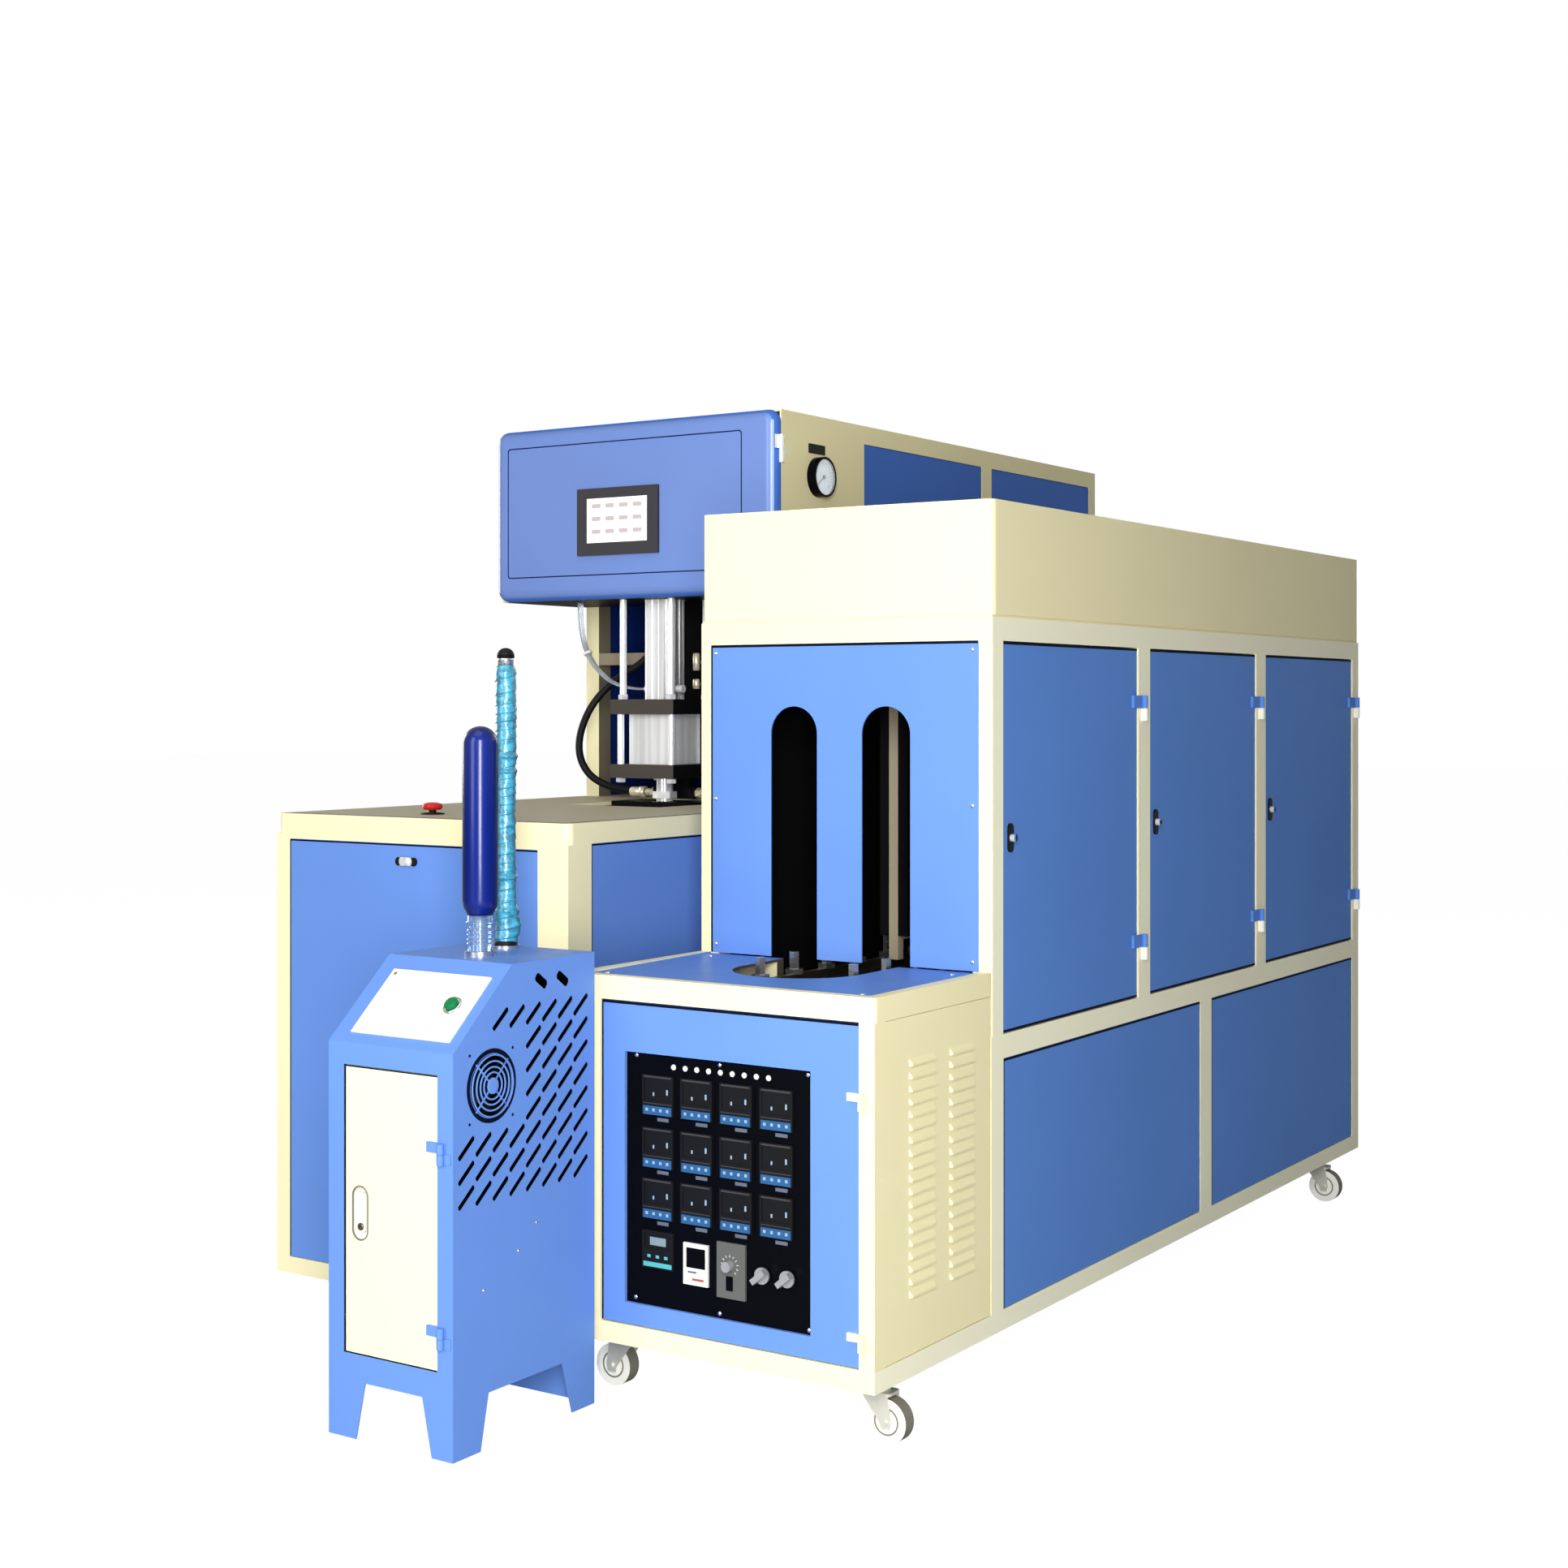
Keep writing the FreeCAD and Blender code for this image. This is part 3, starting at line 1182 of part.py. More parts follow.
def lower_cylinder():
    """Seal cylinder: a square barrel between the plates, with four tie rods."""
    foot, top = D.lower_barrel, D.upper_plate
    barrel = cut(box(BX - 60, BX + 60, BY - 60, BY + 60, foot, top, "lower_barrel"),
                 [rod("z", BX, BY, foot - 4, 40, 108, "lower_bore"),
                  rod("z", BX, BY, foot + 16, D.rod_radius + D.pin_clearance, 140, "rod_bore")],
                 "lower_cylinder")
    return [barrel] + [rod("z", BX + a, BY + b, foot, TIE, top - foot, "tie_rod")
                       for a in (-74, 74) for b in (-74, 74)]


def head_plates():
    """The two square plates, the spine behind them and its arms to the tower."""
    w, low, high = D.plate_half, D.lower_plate, D.upper_plate
    bore = D.rod_radius + D.pin_clearance
    parts = [cut(box(BX - w, BX + w, BY - w, BY + w, high, D.upper_barrel, "upper_plate"),
                 rod("z", BX, BY, high - 12, bore, 60, "rod_bore"), "upper_plate_body"),
             cut(box(BX - w, BX + w, BY - w, BY + w, low, D.lower_barrel, "lower_plate"),
                 rod("z", BX, BY, low - 12, NOZZLE + D.pin_clearance, 60, "nozzle_bore"),
                 "lower_plate_body"),
             box(BX - 60, BX + 60, BY + w, BY + w + 16, low, D.head_bottom, "spine")]
    for side in (-60, 48):
        parts.append(box(BX + side, BX + side + 12, BY + w + 16, TF, 1325, 1355, "spine_arm"))
    return parts


def manifold():
    """Air block under the lower plate with a fitting at each end."""
    low, top = D.lower_plate - 52, D.lower_plate - 24
    y, z = BY + MANIFOLD_Y, D.lower_plate - 38
    parts = [box(BX - 60, BX + 60, y - 15, y + 15, low, top, "manifold"),
             box(BX - 40, BX + 40, y - 9, y + 9, top, D.lower_plate, "manifold_hanger")]
    for start, nut in ((-90, 18), (60, 0)):
        parts.append(fuse([rod("x", BX + start, y, z, 9, 30, "fitting"),
                           prism("x", BX + start + nut, y, z, 13, 12, 6, "nut")],
                          "fitting_with_nut"))
    return parts


def nozzle():
    """Blow nozzle with its hexagon and the piston that lifts it, bored through."""
    outer = fuse([rod("z", BX, BY, 976, 16, 24, "tip"), rod("z", BX, BY, 982, NOZZLE, 148, "stem"),
                  prism("z", BX, BY, 1003, 29, 16, 6, "nozzle_nut", 30),
                  rod("z", BX, BY, 1112, 39.5, 18, "seal_piston")], "nozzle_outer")
    return cut(outer, rod("z", BX, BY, 960, D.rod_radius + 1, 200, "nozzle_bore"), "nozzle_body")


def stretch_rod():
    """Stretch rod with its round tip and its piston."""
    foot = 1004
    return fuse([rod("z", BX, BY, foot, D.rod_radius, 650, "stretch_stem"),
                 ball(BX, BY, foot, D.rod_radius, "stretch_tip"),
                 rod("z", BX, BY, foot + 646, 24.5, 30, "stretch_piston")], "stretch_body")


def routed(points, radius, name):
    """A hose along straight runs joined by tangent arcs, swept from its section."""
    pts = [V(*[num(c) for c in p]) for p in points]
    edges, start = [], pts[0]
    for i in range(1, len(pts) - 1):
        into, out = pts[i] - pts[i - 1], pts[i + 1] - pts[i]
        turn = into.getAngle(out)
        reach = 0.45 * min(into.Length, out.Length)
        bend = reach / math.tan(turn / 2)
        a = pts[i] - V(into).normalize() * reach
        b = pts[i] + V(out).normalize() * reach
        inward = (V(out).normalize() - V(into).normalize()).normalize()
        centre = pts[i] + inward * (bend / math.cos(turn / 2))
        middle = centre - inward * bend
        edges.append(Part.LineSegment(start, a).toShape())
        edges.append(Part.Arc(a, middle, b).toShape())
        print("%s bend %d: radius %.1f" % (name, i, bend))
        start = b
    edges.append(Part.LineSegment(start, pts[-1]).toShape())
    wire = Part.Wire(edges)
    ring = Part.Wire([Part.makeCircle(radius, pts[0], pts[1] - pts[0])])
    shape = wire.makePipeShell([ring], True, True)
    print("%s volume / (section x length): %.4f"
          % (name, shape.Volume / (math.pi * radius ** 2 * wire.Length)))
    return solid(shape, name)


def air_hose():
    """The air hose, from the blow head's floor round to the manifold's fitting."""
    y, hb, end = BY + MANIFOLD_Y, D.head_bottom, D.lower_plate - 38
    return routed([(BX - 110, y + 103, hb), (BX - 110, y + 103, hb - 113),
                   (BX - 275, y + 38, hb - 213), (BX - 302, y - 22, hb - 363),
                   (BX - 230, y, end), (BX - 90, y, end)],
                  num(D.hose_radius), "air_hose_run")


def air_tubes():
    """Three thin tubes, from the blow head's floor to the upper cylinder's port."""
    hb, end = D.head_bottom, D.upper_barrel + 25
    tubes = []
    for k in (-1, 0, 1):
        y = BY + k * 6.5
        tubes.append(routed([(BX - 255, y, hb), (BX - 255, y, hb - 83), (BX - 210, y, hb - 163),
                             (BX - 130, y, end), (BX - 55, y, end)], 3.0, "air_tube_run"))
    return tubes


def slab(sign, half, near, far, z0, z1, name):
    """A block on one side of the mould's split face, as wide each way as half."""
    low, high = (BY - far, BY - near) if sign < 0 else (BY + near, BY + far)
    return box(BX - half, BX + half, low, high, z0, z1, name)


def mould(sign):
    """One mould half and its neck block, in front (-1) or behind (+1) the split."""
    r, top = D.bottle_radius, D.mould_top
    block = slab(sign, D.mould_width / 2, 0, D.mould_depth, D.mould_bottom, top, "half")
    neck = slab(sign, 115, 0, 58, top, top + 52, "neck_block")
    cavity = Shaper("bottle_space", BX, BY, top)
    rib = r - 6
    cavity.turn(cavity.draw("XZ").polygon(
        [(0, 0), (27, 0), (27, -34), (58, -46), (104, -74), (130, -116), (r, -150),
         (r, -196), (rib, -202), (rib, -214), (r, -220), (r, -318), (rib, -324),
         (rib, -336), (r, -342), (r, -446), (r - 9, -470), (r - 24, -480), (0, -472)]))
    hole = rod("z", BX, BY, top - 5, 25, 70, "neck_hole")
    return [cut(block, cavity.body, "mould_block"), cut(neck, hole, "neck_half")]


def platen(sign):
    """The platen behind one mould half, bored for the guide bars, with its ram."""
    near = D.mould_depth
    far = near + D.plate_metal
    plate = slab(sign, 240, near, far, D.mould_bottom, 940, "platen")
    start = BY - far - 5 if sign < 0 else BY + near - 5
    bores = [rod("y", BX + x, start, z, D.bar_radius + D.pin_clearance, 60, "bar_bore")
             for x, z in BARS]
    reach, thick = D.ram_reach, 20
    foot, head = (BY - reach, BY - reach - thick) if sign < 0 else (BY + far, BY + reach)
    return [cut(plate, bores, "platen_bored"),
            rod("y", BX, foot, D.ram_height, D.ram_radius, reach - far, "ram"),
            rod("y", BX, head, D.ram_height, 39.5, thick, "ram_piston")]


def guide_bars():
    """The four bars that the platens slide on."""
    e = D.end_plate
    return [rod("y", BX + x, BY - e, z, D.bar_radius, 2 * e, "guide_bar") for x, z in BARS]


def clamp_cylinders():
    """End plates and the two clamp cylinders."""
    e, thick, long, z = D.end_plate, D.plate_metal, 270, D.ram_height
    bore = D.ram_radius + D.pin_clearance
    parts = []
    for y in (BY - e - thick, BY + e):
        plate = box(BX - 250, BX + 250, y, y + thick, 45, 945, "end_plate")
        parts.append(cut(plate, rod("y", BX, y - 5, z, bore, 60, "ram_bore"), "end_plate"))
    for y, inside in ((BY - e - thick - long, 12), (BY + e + thick, -5)):
        parts.append(cut(rod("y", BX, y, z, 56, long, "barrel"),
                         rod("y", BX, y + inside, z, 40, long - 7, "barrel_bore"),
                         "clamp_barrel"))
    return parts


def estop():
    """Emergency stop: a mushroom head whose stem slides in the table."""
    shape = Shaper("estop_head", ESTOP_X, ESTOP_Y, TABLE)
    shape.turn(shape.draw("XZ").polygon([(0, -20), (8, -20), (8, 9), (18, 10), (22, 15),
                                         (20, 22), (10, 25), (0, 25)]))
    return shape.body


def pressure_gauge():
    """Round gauge on the tower's side: its case and a ring round the dial."""
    y, z, r = FY + 1197, 1745, 46
    ring = cut(rod("x", PR + 14, y, z, r, 8, "gauge_rim"),
               rod("x", PR + 14, y, z, r - 5, 20, "gauge_window"), "gauge_ring")
    return [rod("x", PR, y, z, r, 14, "gauge_case"), ring]


# ----------------------------------------------------------------- pieces

frame_hinges = []


def hung(label, made):
    """Marks a door; its frame's hinge halves join the others."""
    parts, halves = made
    frame_hinges.extend(halves)
    node(label, parts)


node("oven_frame", oven_frame())
node("oven_hood", oven_hood())
node("counter_plate", counter_plate())
node("oven_front_panel", oven_front_panel())
node("oven_panels", oven_panels())
node("louvre_panel", louvre_panel())
chain_part, drive_parts = conveyor()
node("conveyor_chain", chain_part)
node("conveyor_drive", drive_parts)
node("preform_spindles", spindles())
node("lamp_bank", lamp_bank())
for i in range(3):
    hung("oven_door_%d" % (i + 1), oven_door(i))
hung("control_door", control_door())
node("instrument_panel", instrument_panel())
node("temperature_controllers", controllers())
node("panel_meters", panel_meters())
node("speed_knob", knob(RX - KNOB_AT[0], KNOB_AT[1], 9, 13, 8))
for label, (x, z) in zip(("selector_left", "selector_right"), SELECTORS_AT):
    node(label, selector(RX - x, z))
plates = []
for i in range(4):
    plate, fork, wheel = caster(i)
    plates += plate
    node("caster_fork_%d" % (i + 1), fork)
    node("caster_wheel_%d" % (i + 1), wheel)
node("caster_plates", plates)

console_parts, button, button_bore = console()
node("stand_shell", stand_shell(button_bore))
node("console_plate", console_parts)
node("start_button", button)
hung("stand_door", stand_door())
guard_parts, rotor_part = fan()
node("fan_guard", guard_parts)
node("fan_rotor", rotor_part)
node("rod_sockets", rod_sockets())
node("wrapped_rod", wrapped_rod())
node("preform", preform())

node("press_frame", press_frame() + tower_frame())
stem_hole = rod("z", ESTOP_X, ESTOP_Y, TABLE - 60, 8 + D.pin_clearance, 90, "estop_bore")
node("press_table", cut(press_table(), stem_hole, "table_bored"))
node("press_panels", press_panels() + tower_panels())
node("head_box", head_box())
hung("head_door", head_door())
node("touch_screen", touch_screen())
node("hinge_leaves", frame_hinges)
node("pressure_gauge", pressure_gauge())
node("blow_cylinders", upper_cylinder() + lower_cylinder())
node("head_plates", head_plates())
node("blow_manifold", manifold())
node("blow_nozzle", nozzle())
node("stretch_rod", stretch_rod())
node("air_hose", air_hose())
node("air_tubes", air_tubes())
for label, sign in (("front", -1), ("rear", 1)):
    node("mould_" + label, mould(sign))
    node("platen_" + label, platen(sign))
node("clamp_rods", guide_bars())
node("clamp_cylinders", clamp_cylinders())
node("estop_button", estop())


def main():
    """Builds everything, checks it and writes one STEP file per piece."""
    DOC.recompute()
    bad = [o.Label for o in DOC.Objects
           if any(s in ("Invalid", "Error") for s in o.State)]
    if bad:
        raise RuntimeError("not built: " + ", ".join(bad))
    os.makedirs("parts", exist_ok=True)
    whole = FreeCAD.BoundBox()
    for obj in NODES:
        if obj.Shape.isNull() or not obj.Shape.isValid():
            raise RuntimeError("no valid solid: " + obj.Label)
        whole.add(obj.Shape.BoundBox)
        obj.Shape.exportStep("parts/%s.step" % obj.Label)
    print("%d pieces, X %.2f..%.2f, Y %.2f..%.2f, Z %.2f..%.2f"
          % (len(NODES), whole.XMin, whole.XMax, whole.YMin, whole.YMax,
             whole.ZMin, whole.ZMax))


main()
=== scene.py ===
"""Dresses and photographs the blow moulding machine.

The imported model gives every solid.  This script adds the finishes, the small fittings,
the dials and screens, the hoses and the film-wrapped rod, and sets up a plain studio.

Places are written in millimetres off the oven's front right foot, along the frame's own
axes, and plan() turns them into the frame's metres.  Sizes of shapes are millimetres too.
What goes to Blender as it stands, such as a finish's grain, a hose's radius or a lamp's
place, is in metres.
"""
import logging
import math
from dataclasses import dataclass
from enum import Enum
from typing import Iterable, Sequence

import bpy
import numpy as np
from mathutils import Matrix
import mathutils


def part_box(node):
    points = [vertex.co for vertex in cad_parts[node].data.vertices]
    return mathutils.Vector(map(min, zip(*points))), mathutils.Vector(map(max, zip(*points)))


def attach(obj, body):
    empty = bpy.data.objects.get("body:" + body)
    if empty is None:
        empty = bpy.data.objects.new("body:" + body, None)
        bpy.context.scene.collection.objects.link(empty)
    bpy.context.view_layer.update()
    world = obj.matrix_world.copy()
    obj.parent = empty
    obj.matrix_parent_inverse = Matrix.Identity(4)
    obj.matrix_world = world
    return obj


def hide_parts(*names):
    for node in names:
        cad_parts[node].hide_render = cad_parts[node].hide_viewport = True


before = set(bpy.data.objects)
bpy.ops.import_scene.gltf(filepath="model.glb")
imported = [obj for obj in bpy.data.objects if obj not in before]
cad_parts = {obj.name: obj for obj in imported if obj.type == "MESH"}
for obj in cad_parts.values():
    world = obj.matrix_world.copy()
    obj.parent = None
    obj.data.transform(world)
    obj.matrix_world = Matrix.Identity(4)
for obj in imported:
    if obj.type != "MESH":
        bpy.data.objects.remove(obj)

Vector = Sequence[float]
Profile = Sequence[tuple[float, float]]
Socket = bpy.types.NodeSocket

LOG = logging.getLogger("dressing")
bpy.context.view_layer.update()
ORIGIN_MM = np.array([836.25, -1150.25, 0.0])
MACHINE = "machine"
UP, DOWN, RIGHT = (0, 0, 1), (0, 0, -1), (1, 0, 0)
FRONT, BACK = (0, -1, 0), (0, 1, 0)
# Right and up as they lie on a face, seen from outside.
RIGHT_FACE, FRONT_FACE, TOP_FACE = (BACK, UP), (RIGHT, UP), (RIGHT, BACK)
# Shapes: radius left at a dome's tip and height of a screw's head over its radius, in
# millimetres and as a share; then, in metres, the corner that counts as sharp, the
# smallest corner and the smallest radius that is left of it on a rolled rim.
TIP = 0.01
HEAD_SHARE = 0.55
SHARP_CORNER, LEAST_CORNER, LEAST_RADIUS = 1e-4, 1e-5, 1e-6
CRISP_ANGLE = math.radians(32)
# Hoses: true lengths in metres, then steps round and along each.
STEPS_ROUND, STEPS_ALONG = 5, 16
CAMERA_SENSOR = 36.0


def plan(x: float, y: float, z: float) -> np.ndarray:
    """A point of the frame, in metres, from millimetres off the oven's front right foot."""
    return (ORIGIN_MM + np.array([x, y, z], float)) / 1000.0


def into_scene(name: str, data: bpy.types.ID) -> bpy.types.Object:
    """Puts a mesh, a curve, a lamp or a camera into the scene.

    Args:
        name: the object's name.
        data: the mesh, curve, lamp or camera.

    Returns:
        The new object, at the origin.
    """
    obj = bpy.data.objects.new(name, data)
    bpy.context.scene.collection.objects.link(obj)
    return obj


# ---- finishes

class Look(Enum):
    """How a surface answers light."""

    POWDER = "powder coat"
    METAL = "bare metal"
    SATIN = "satin metal that scatters light"
    PLASTIC = "moulded plastic or rubber"
    FILM = "wrapped film"
    CLEAR = "clear plastic"
    GLOSS = "deep glossy plastic"
    LIGHT = "lit display"


# Sockets of each look that are the same all over, apart from powder coat and display.
SOCKETS: dict[Look, dict[str, float]] = {
    Look.METAL: {"Metallic": 1.0},
    Look.SATIN: {"Metallic": 0.4},
    Look.PLASTIC: {"Specular IOR Level": 0.15},
    Look.FILM: {"Coat Weight": 0.5, "Coat Roughness": 0.22, "Transmission Weight": 0.15},
    Look.GLOSS: {"Coat Weight": 0.45, "Coat Roughness": 0.17, "Specular IOR Level": 0.12,
                 "Transmission Weight": 0.06},
    Look.CLEAR: {"Transmission Weight": 0.75, "IOR": 1.45},
}
# Blend of the painted shade where a surface turns away from the view.
TURNING_AWAY = 0.62
ROUGHNESS_SPREAD = 0.07
MARKS_PER_PATCH = 6
RELIEF_DEPTH = 1 / 6
COLOUR_DETAIL, MARK_DETAIL, GRAIN_DETAIL = 3.0, 5.0, 2.0
RAMP_ENDS = (0.3, 0.7)


class Tree:
    """The node tree of a material or a world, filled in by the names of sockets."""

    def __init__(self, owner: bpy.types.Material | bpy.types.World) -> None:
        """Turns the owner's nodes on."""
        owner.use_nodes = True
        self.nodes, self.links = owner.node_tree.nodes, owner.node_tree.links

    def fill(self, node: bpy.types.Node, sockets: dict) -> None:
        """Gives inputs a value each, or joins them to another node's output.

        Args:
            node: the node.
            sockets: value or output by the input's name or number.
        """
        for key, value in sockets.items():
            if isinstance(value, Socket):
                self.links.new(value, node.inputs[key])
            else:
                node.inputs[key].default_value = value

    def add(self, kind: str, sockets: dict, output: int | str = 0) -> Socket:
        """Adds a node and fills its inputs.

        Args:
            kind: the node's type, without its prefix.
            sockets: value or output by the input's name or number.
            output: name or number of the output that is wanted.

        Returns:
            That output.
        """
        node = self.nodes.new("ShaderNode" + kind)
        self.fill(node, sockets)
        return node.outputs[output]

    def maths(self, operation: str, first: Socket, second: Socket | float) -> Socket:
        """Adds a calculation.

        Args:
            operation: its name, as the Math node has it.
            first: the output that it works on.
            second: another output or a number.

        Returns:
            The result's output.
        """
        result = self.add("Math", {0: first, 1: second})
        result.node.operation = operation
        return result


def linear(colour: Vector) -> tuple[float, float, float, float]:
    """Turns a display colour into the linear colour that shaders use.

    Below 0.04045 the sRGB curve is a straight line, above it a power of 2.4.

    Args:
        colour: red, green and blue, 0 to 255.

    Returns:
        Linear red, green and blue, 0 to 1, and an alpha of 1.
    """
    c = np.array(colour[:3], float) / 255.0
    out = np.where(c <= 0.04045, c / 12.92, ((c + 0.055) / 1.055) ** 2.4)
    return (float(out[0]), float(out[1]), float(out[2]), 1.0)


@dataclass(frozen=True)
class Finish:
    """One paint, metal or plastic, built from nodes on Object coordinates.

    Attributes:
        name: the material's name.
        colour: display colour, 0 to 255.
        roughness: middle value of the roughness.
        look: the kind of surface.
        vary: how far the colour wanders between lighter and darker.
        patch: size of the wandering patches, in metres.
        grain: size of the fine relief, in metres.
        relief: strength of the fine relief.
        stretch: scale along each axis of the grain, for brushed or wound surfaces.
        glow: emission strength of a lit display.
        edge: painted shade, how much darker it is where the surface turns away from the view.
        sheen: strength of a powder coat's reflection.
    """

    name: str
    colour: tuple[int, int, int]
    roughness: float = 0.4
    look: Look = Look.POWDER
    vary: float = 0.06
    patch: float = 0.35
    grain: float = 0.0022
    relief: float = 0.12
    stretch: tuple[float, float, float] = (1.0, 1.0, 1.0)
    glow: float = 0.0
    edge: float = 0.0
    sheen: float = 0.06

    @property
    def label(self) -> str:
        """The material's own name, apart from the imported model's plain ones."""
        return "dressed_" + self.name

    def build(self) -> bpy.types.Material:
        """Makes the material, unless it is there already.

        Returns:
            The material.
        """
        known = bpy.data.materials.get(self.label)
        if known:
            return known
        mat = bpy.data.materials.new(self.label)
        tree = Tree(mat)
        where = tree.add("TexCoord", {}, "Object")
        tree.fill(tree.nodes["Principled BSDF"], {
            "Base Color": self._paint(tree, where), "Roughness": self._roughness(tree, where),
            "Normal": self._relief(tree, where), **self._sockets()})
        mat.diffuse_color = linear(self.colour)
        return mat

    def _noise(self, tree: Tree, where: Socket, size: float, detail: float) -> Socket:
        """A noise texture.

        Args:
            tree: the material's nodes.
            where: Object coordinates.
            size: about the size of its features, in metres.
            detail: how many finer layers it has.

        Returns:
            The noise's output, 0 to 1.
        """
        mapping = tree.add("Mapping", {"Vector": where, "Scale": self.stretch}, "Vector")
        return tree.add("TexNoise", {"Vector": mapping, "Scale": 1.0 / size, "Detail": detail},
                        "Fac")

    def _paint(self, tree: Tree, where: Socket) -> Socket:
        """Colour that wanders between a lighter and a darker tone, with painted shade where the
        surface turns away from the view.

        Args:
            tree: the material's nodes.
            where: Object coordinates.

        Returns:
            The colour's output.
        """
        base = np.array(linear(self.colour)[:3])
        wander = self._noise(tree, where, self.patch, COLOUR_DETAIL)
        colour = tree.add("ValToRGB", {"Fac": wander}, "Color")
        low, high = colour.node.color_ramp.elements
        low.color = (*(base * (1 - self.vary)), 1)
        high.color = (*np.clip(base * (1 + self.vary), 0, 1), 1)
        low.position, high.position = RAMP_ENDS
        if not self.edge:
            return colour
        # Painted shade: darker where the surface turns away from the view.
        facing = tree.add("LayerWeight", {"Blend": TURNING_AWAY}, "Facing")
        return tree.add("MixRGB", {"Fac": facing, "Color1": colour,
                                   "Color2": (*(base * (1 - self.edge)), 1)}, "Color")

    def _roughness(self, tree: Tree, where: Socket) -> Socket:
        """Roughness with faint handling marks.

        Args:
            tree: the material's nodes.
            where: Object coordinates.

        Returns:
            The roughness's output.
        """
        marks = self._noise(tree, where, self.patch / MARKS_PER_PATCH, MARK_DETAIL)
        return tree.add("MapRange", {
            "Value": marks, "To Min": max(self.roughness - ROUGHNESS_SPREAD, 0.02),
            "To Max": min(self.roughness + ROUGHNESS_SPREAD, 1.0)}, "Result")

    def _relief(self, tree: Tree, where: Socket) -> Socket:
        """Fine relief: orange peel, brushing or moulding grain.

        Args:
            tree: the material's nodes.
            where: Object coordinates.

        Returns:
            The bent normal's output.
        """
        return tree.add("Bump", {"Height": self._noise(tree, where, self.grain, GRAIN_DETAIL),
                                 "Strength": self.relief,
                                 "Distance": self.grain * RELIEF_DEPTH}, "Normal")

    def _sockets(self) -> dict[str, float]:
        """The sockets that are the same all over.

        Returns:
            Value by the socket's name.
        """
        if self.look is Look.POWDER:
            return {"Specular IOR Level": self.sheen}
        if self.look is Look.LIGHT:
            return {"Emission Color": linear(self.colour), "Emission Strength": self.glow}
        return SOCKETS[self.look]


Coats = tuple[tuple[Finish, str], ...]
Areas = tuple[tuple[str, Finish, Vector, Vector], ...]


def plastic(name: str, colour: tuple[int, int, int], roughness: float,
            grain: float = 0.0008) -> Finish:
    """A moulded plastic or rubber with a fine grain."""
    return Finish(name, colour, roughness, Look.PLASTIC, grain=grain)


CREAM = Finish("cream_paint", (248, 239, 193), 0.42, vary=0.02)
BLUE = Finish("blue_paint", (104, 144, 217), 0.4, vary=0.03, sheen=0.04)
# Painted light: a paler copy of the blue for the head door, with painted shade on its turned-away
# rim.
LIT_HEAD_BLUE = Finish("lit_head_blue", (122, 151, 220), 0.22, vary=0.03, edge=0.6, sheen=0.3)
# Painted light: a lighter copy of the cream for the frame's right side.
LIT_RAIL_CREAM = Finish("lit_rail_cream", (255, 251, 222), 0.42, vary=0.02, sheen=0.12)
# Painted shade: a darker copy of the blue for the oven's side panels and doors.
SHADED_SIDE_BLUE = Finish("shaded_side_blue", (93, 139, 214), 0.4, vary=0.03, sheen=0.04)
# Painted shade: a darker copy of the blue for the tower's right side and the head door's rounded
# rim.
SHADED_BLUE = Finish("shaded_blue", (72, 117, 206), 0.4, vary=0.03, sheen=0.03)
# Painted highlight along the head door's right edge.
GLINT = Finish("painted_glint", (168, 190, 240), 0.3, sheen=0.3)
# Painted shade: a dark copy of the blue for the inside of the tower.
SHADED_TOWER_BLUE = Finish("shaded_tower_inside", (22, 48, 128), 0.5, vary=0.05, sheen=0.02)
# Painted shade on the side of the tower's post.
SHADE = Finish("painted_post_shade", (126, 118, 98), 0.5)
# Painted shade in the head door's groove.
GROOVE_SHADE = Finish("groove_shade", (26, 46, 104), 0.45)
# Painted shade: a darker copy of the cream for posts and bars in shade.
SHADED_CREAM = Finish("shaded_cream", (150, 140, 118), 0.5)
WHITE = Finish("white_paint", (244, 242, 230), 0.35, vary=0.02)
DOOR_WHITE = Finish("door_white", (248, 246, 200), 0.35, vary=0.02)
TABLE = Finish("table_paint", (192, 182, 154), 0.5, vary=0.04)
# Dark plate paint, and also painted shade inside the counter below its hole.
GUNMETAL_AND_SHADE = Finish("plate_paint_and_shade", (72, 67, 62), 0.45)
# Black paint, and also painted shade under the head box.
BLACK = Finish("black_paint", (15, 15, 17), 0.42, sheen=0.04)
GREY = Finish("grey_paint", (120, 122, 116), 0.45)
# Painted shade: black for hollows and insides.
HOLLOW_SHADE = Finish("hollow_shade", (10, 10, 12), 0.85, relief=0.02)
STEEL = Finish("ground_steel", (206, 206, 208), 0.26, Look.METAL, patch=0.08, stretch=(1, 1, 14))
CHAIN = Finish("chain_steel", (112, 104, 92), 0.45, Look.METAL, patch=0.03)
CHROME = Finish("chrome", (232, 232, 234), 0.1, Look.METAL, vary=0.03, patch=0.05)
ALU = Finish("extruded_aluminium", (222, 222, 224), 0.3, Look.METAL, patch=0.8,
             stretch=(14, 14, 0.5), relief=0.3)
BARREL = Finish("barrel_aluminium", (240, 240, 238), 0.3, Look.SATIN, vary=0.2, patch=0.2,
                stretch=(14, 14, 0.3), relief=0.2)
# Painted shade: a darker copy of the barrel's aluminium for its right side.
SHADED_BARREL = Finish("barrel_shade", (138, 138, 141), 0.3, Look.SATIN, vary=0.2, patch=0.2,
                     stretch=(14, 14, 0.3), relief=0.2)
NICKEL = Finish("bright_nickel", (240, 240, 240), 0.16, Look.SATIN, patch=0.02)
BRASS = Finish("pale_brass", (236, 226, 194), 0.25, Look.SATIN, patch=0.02)
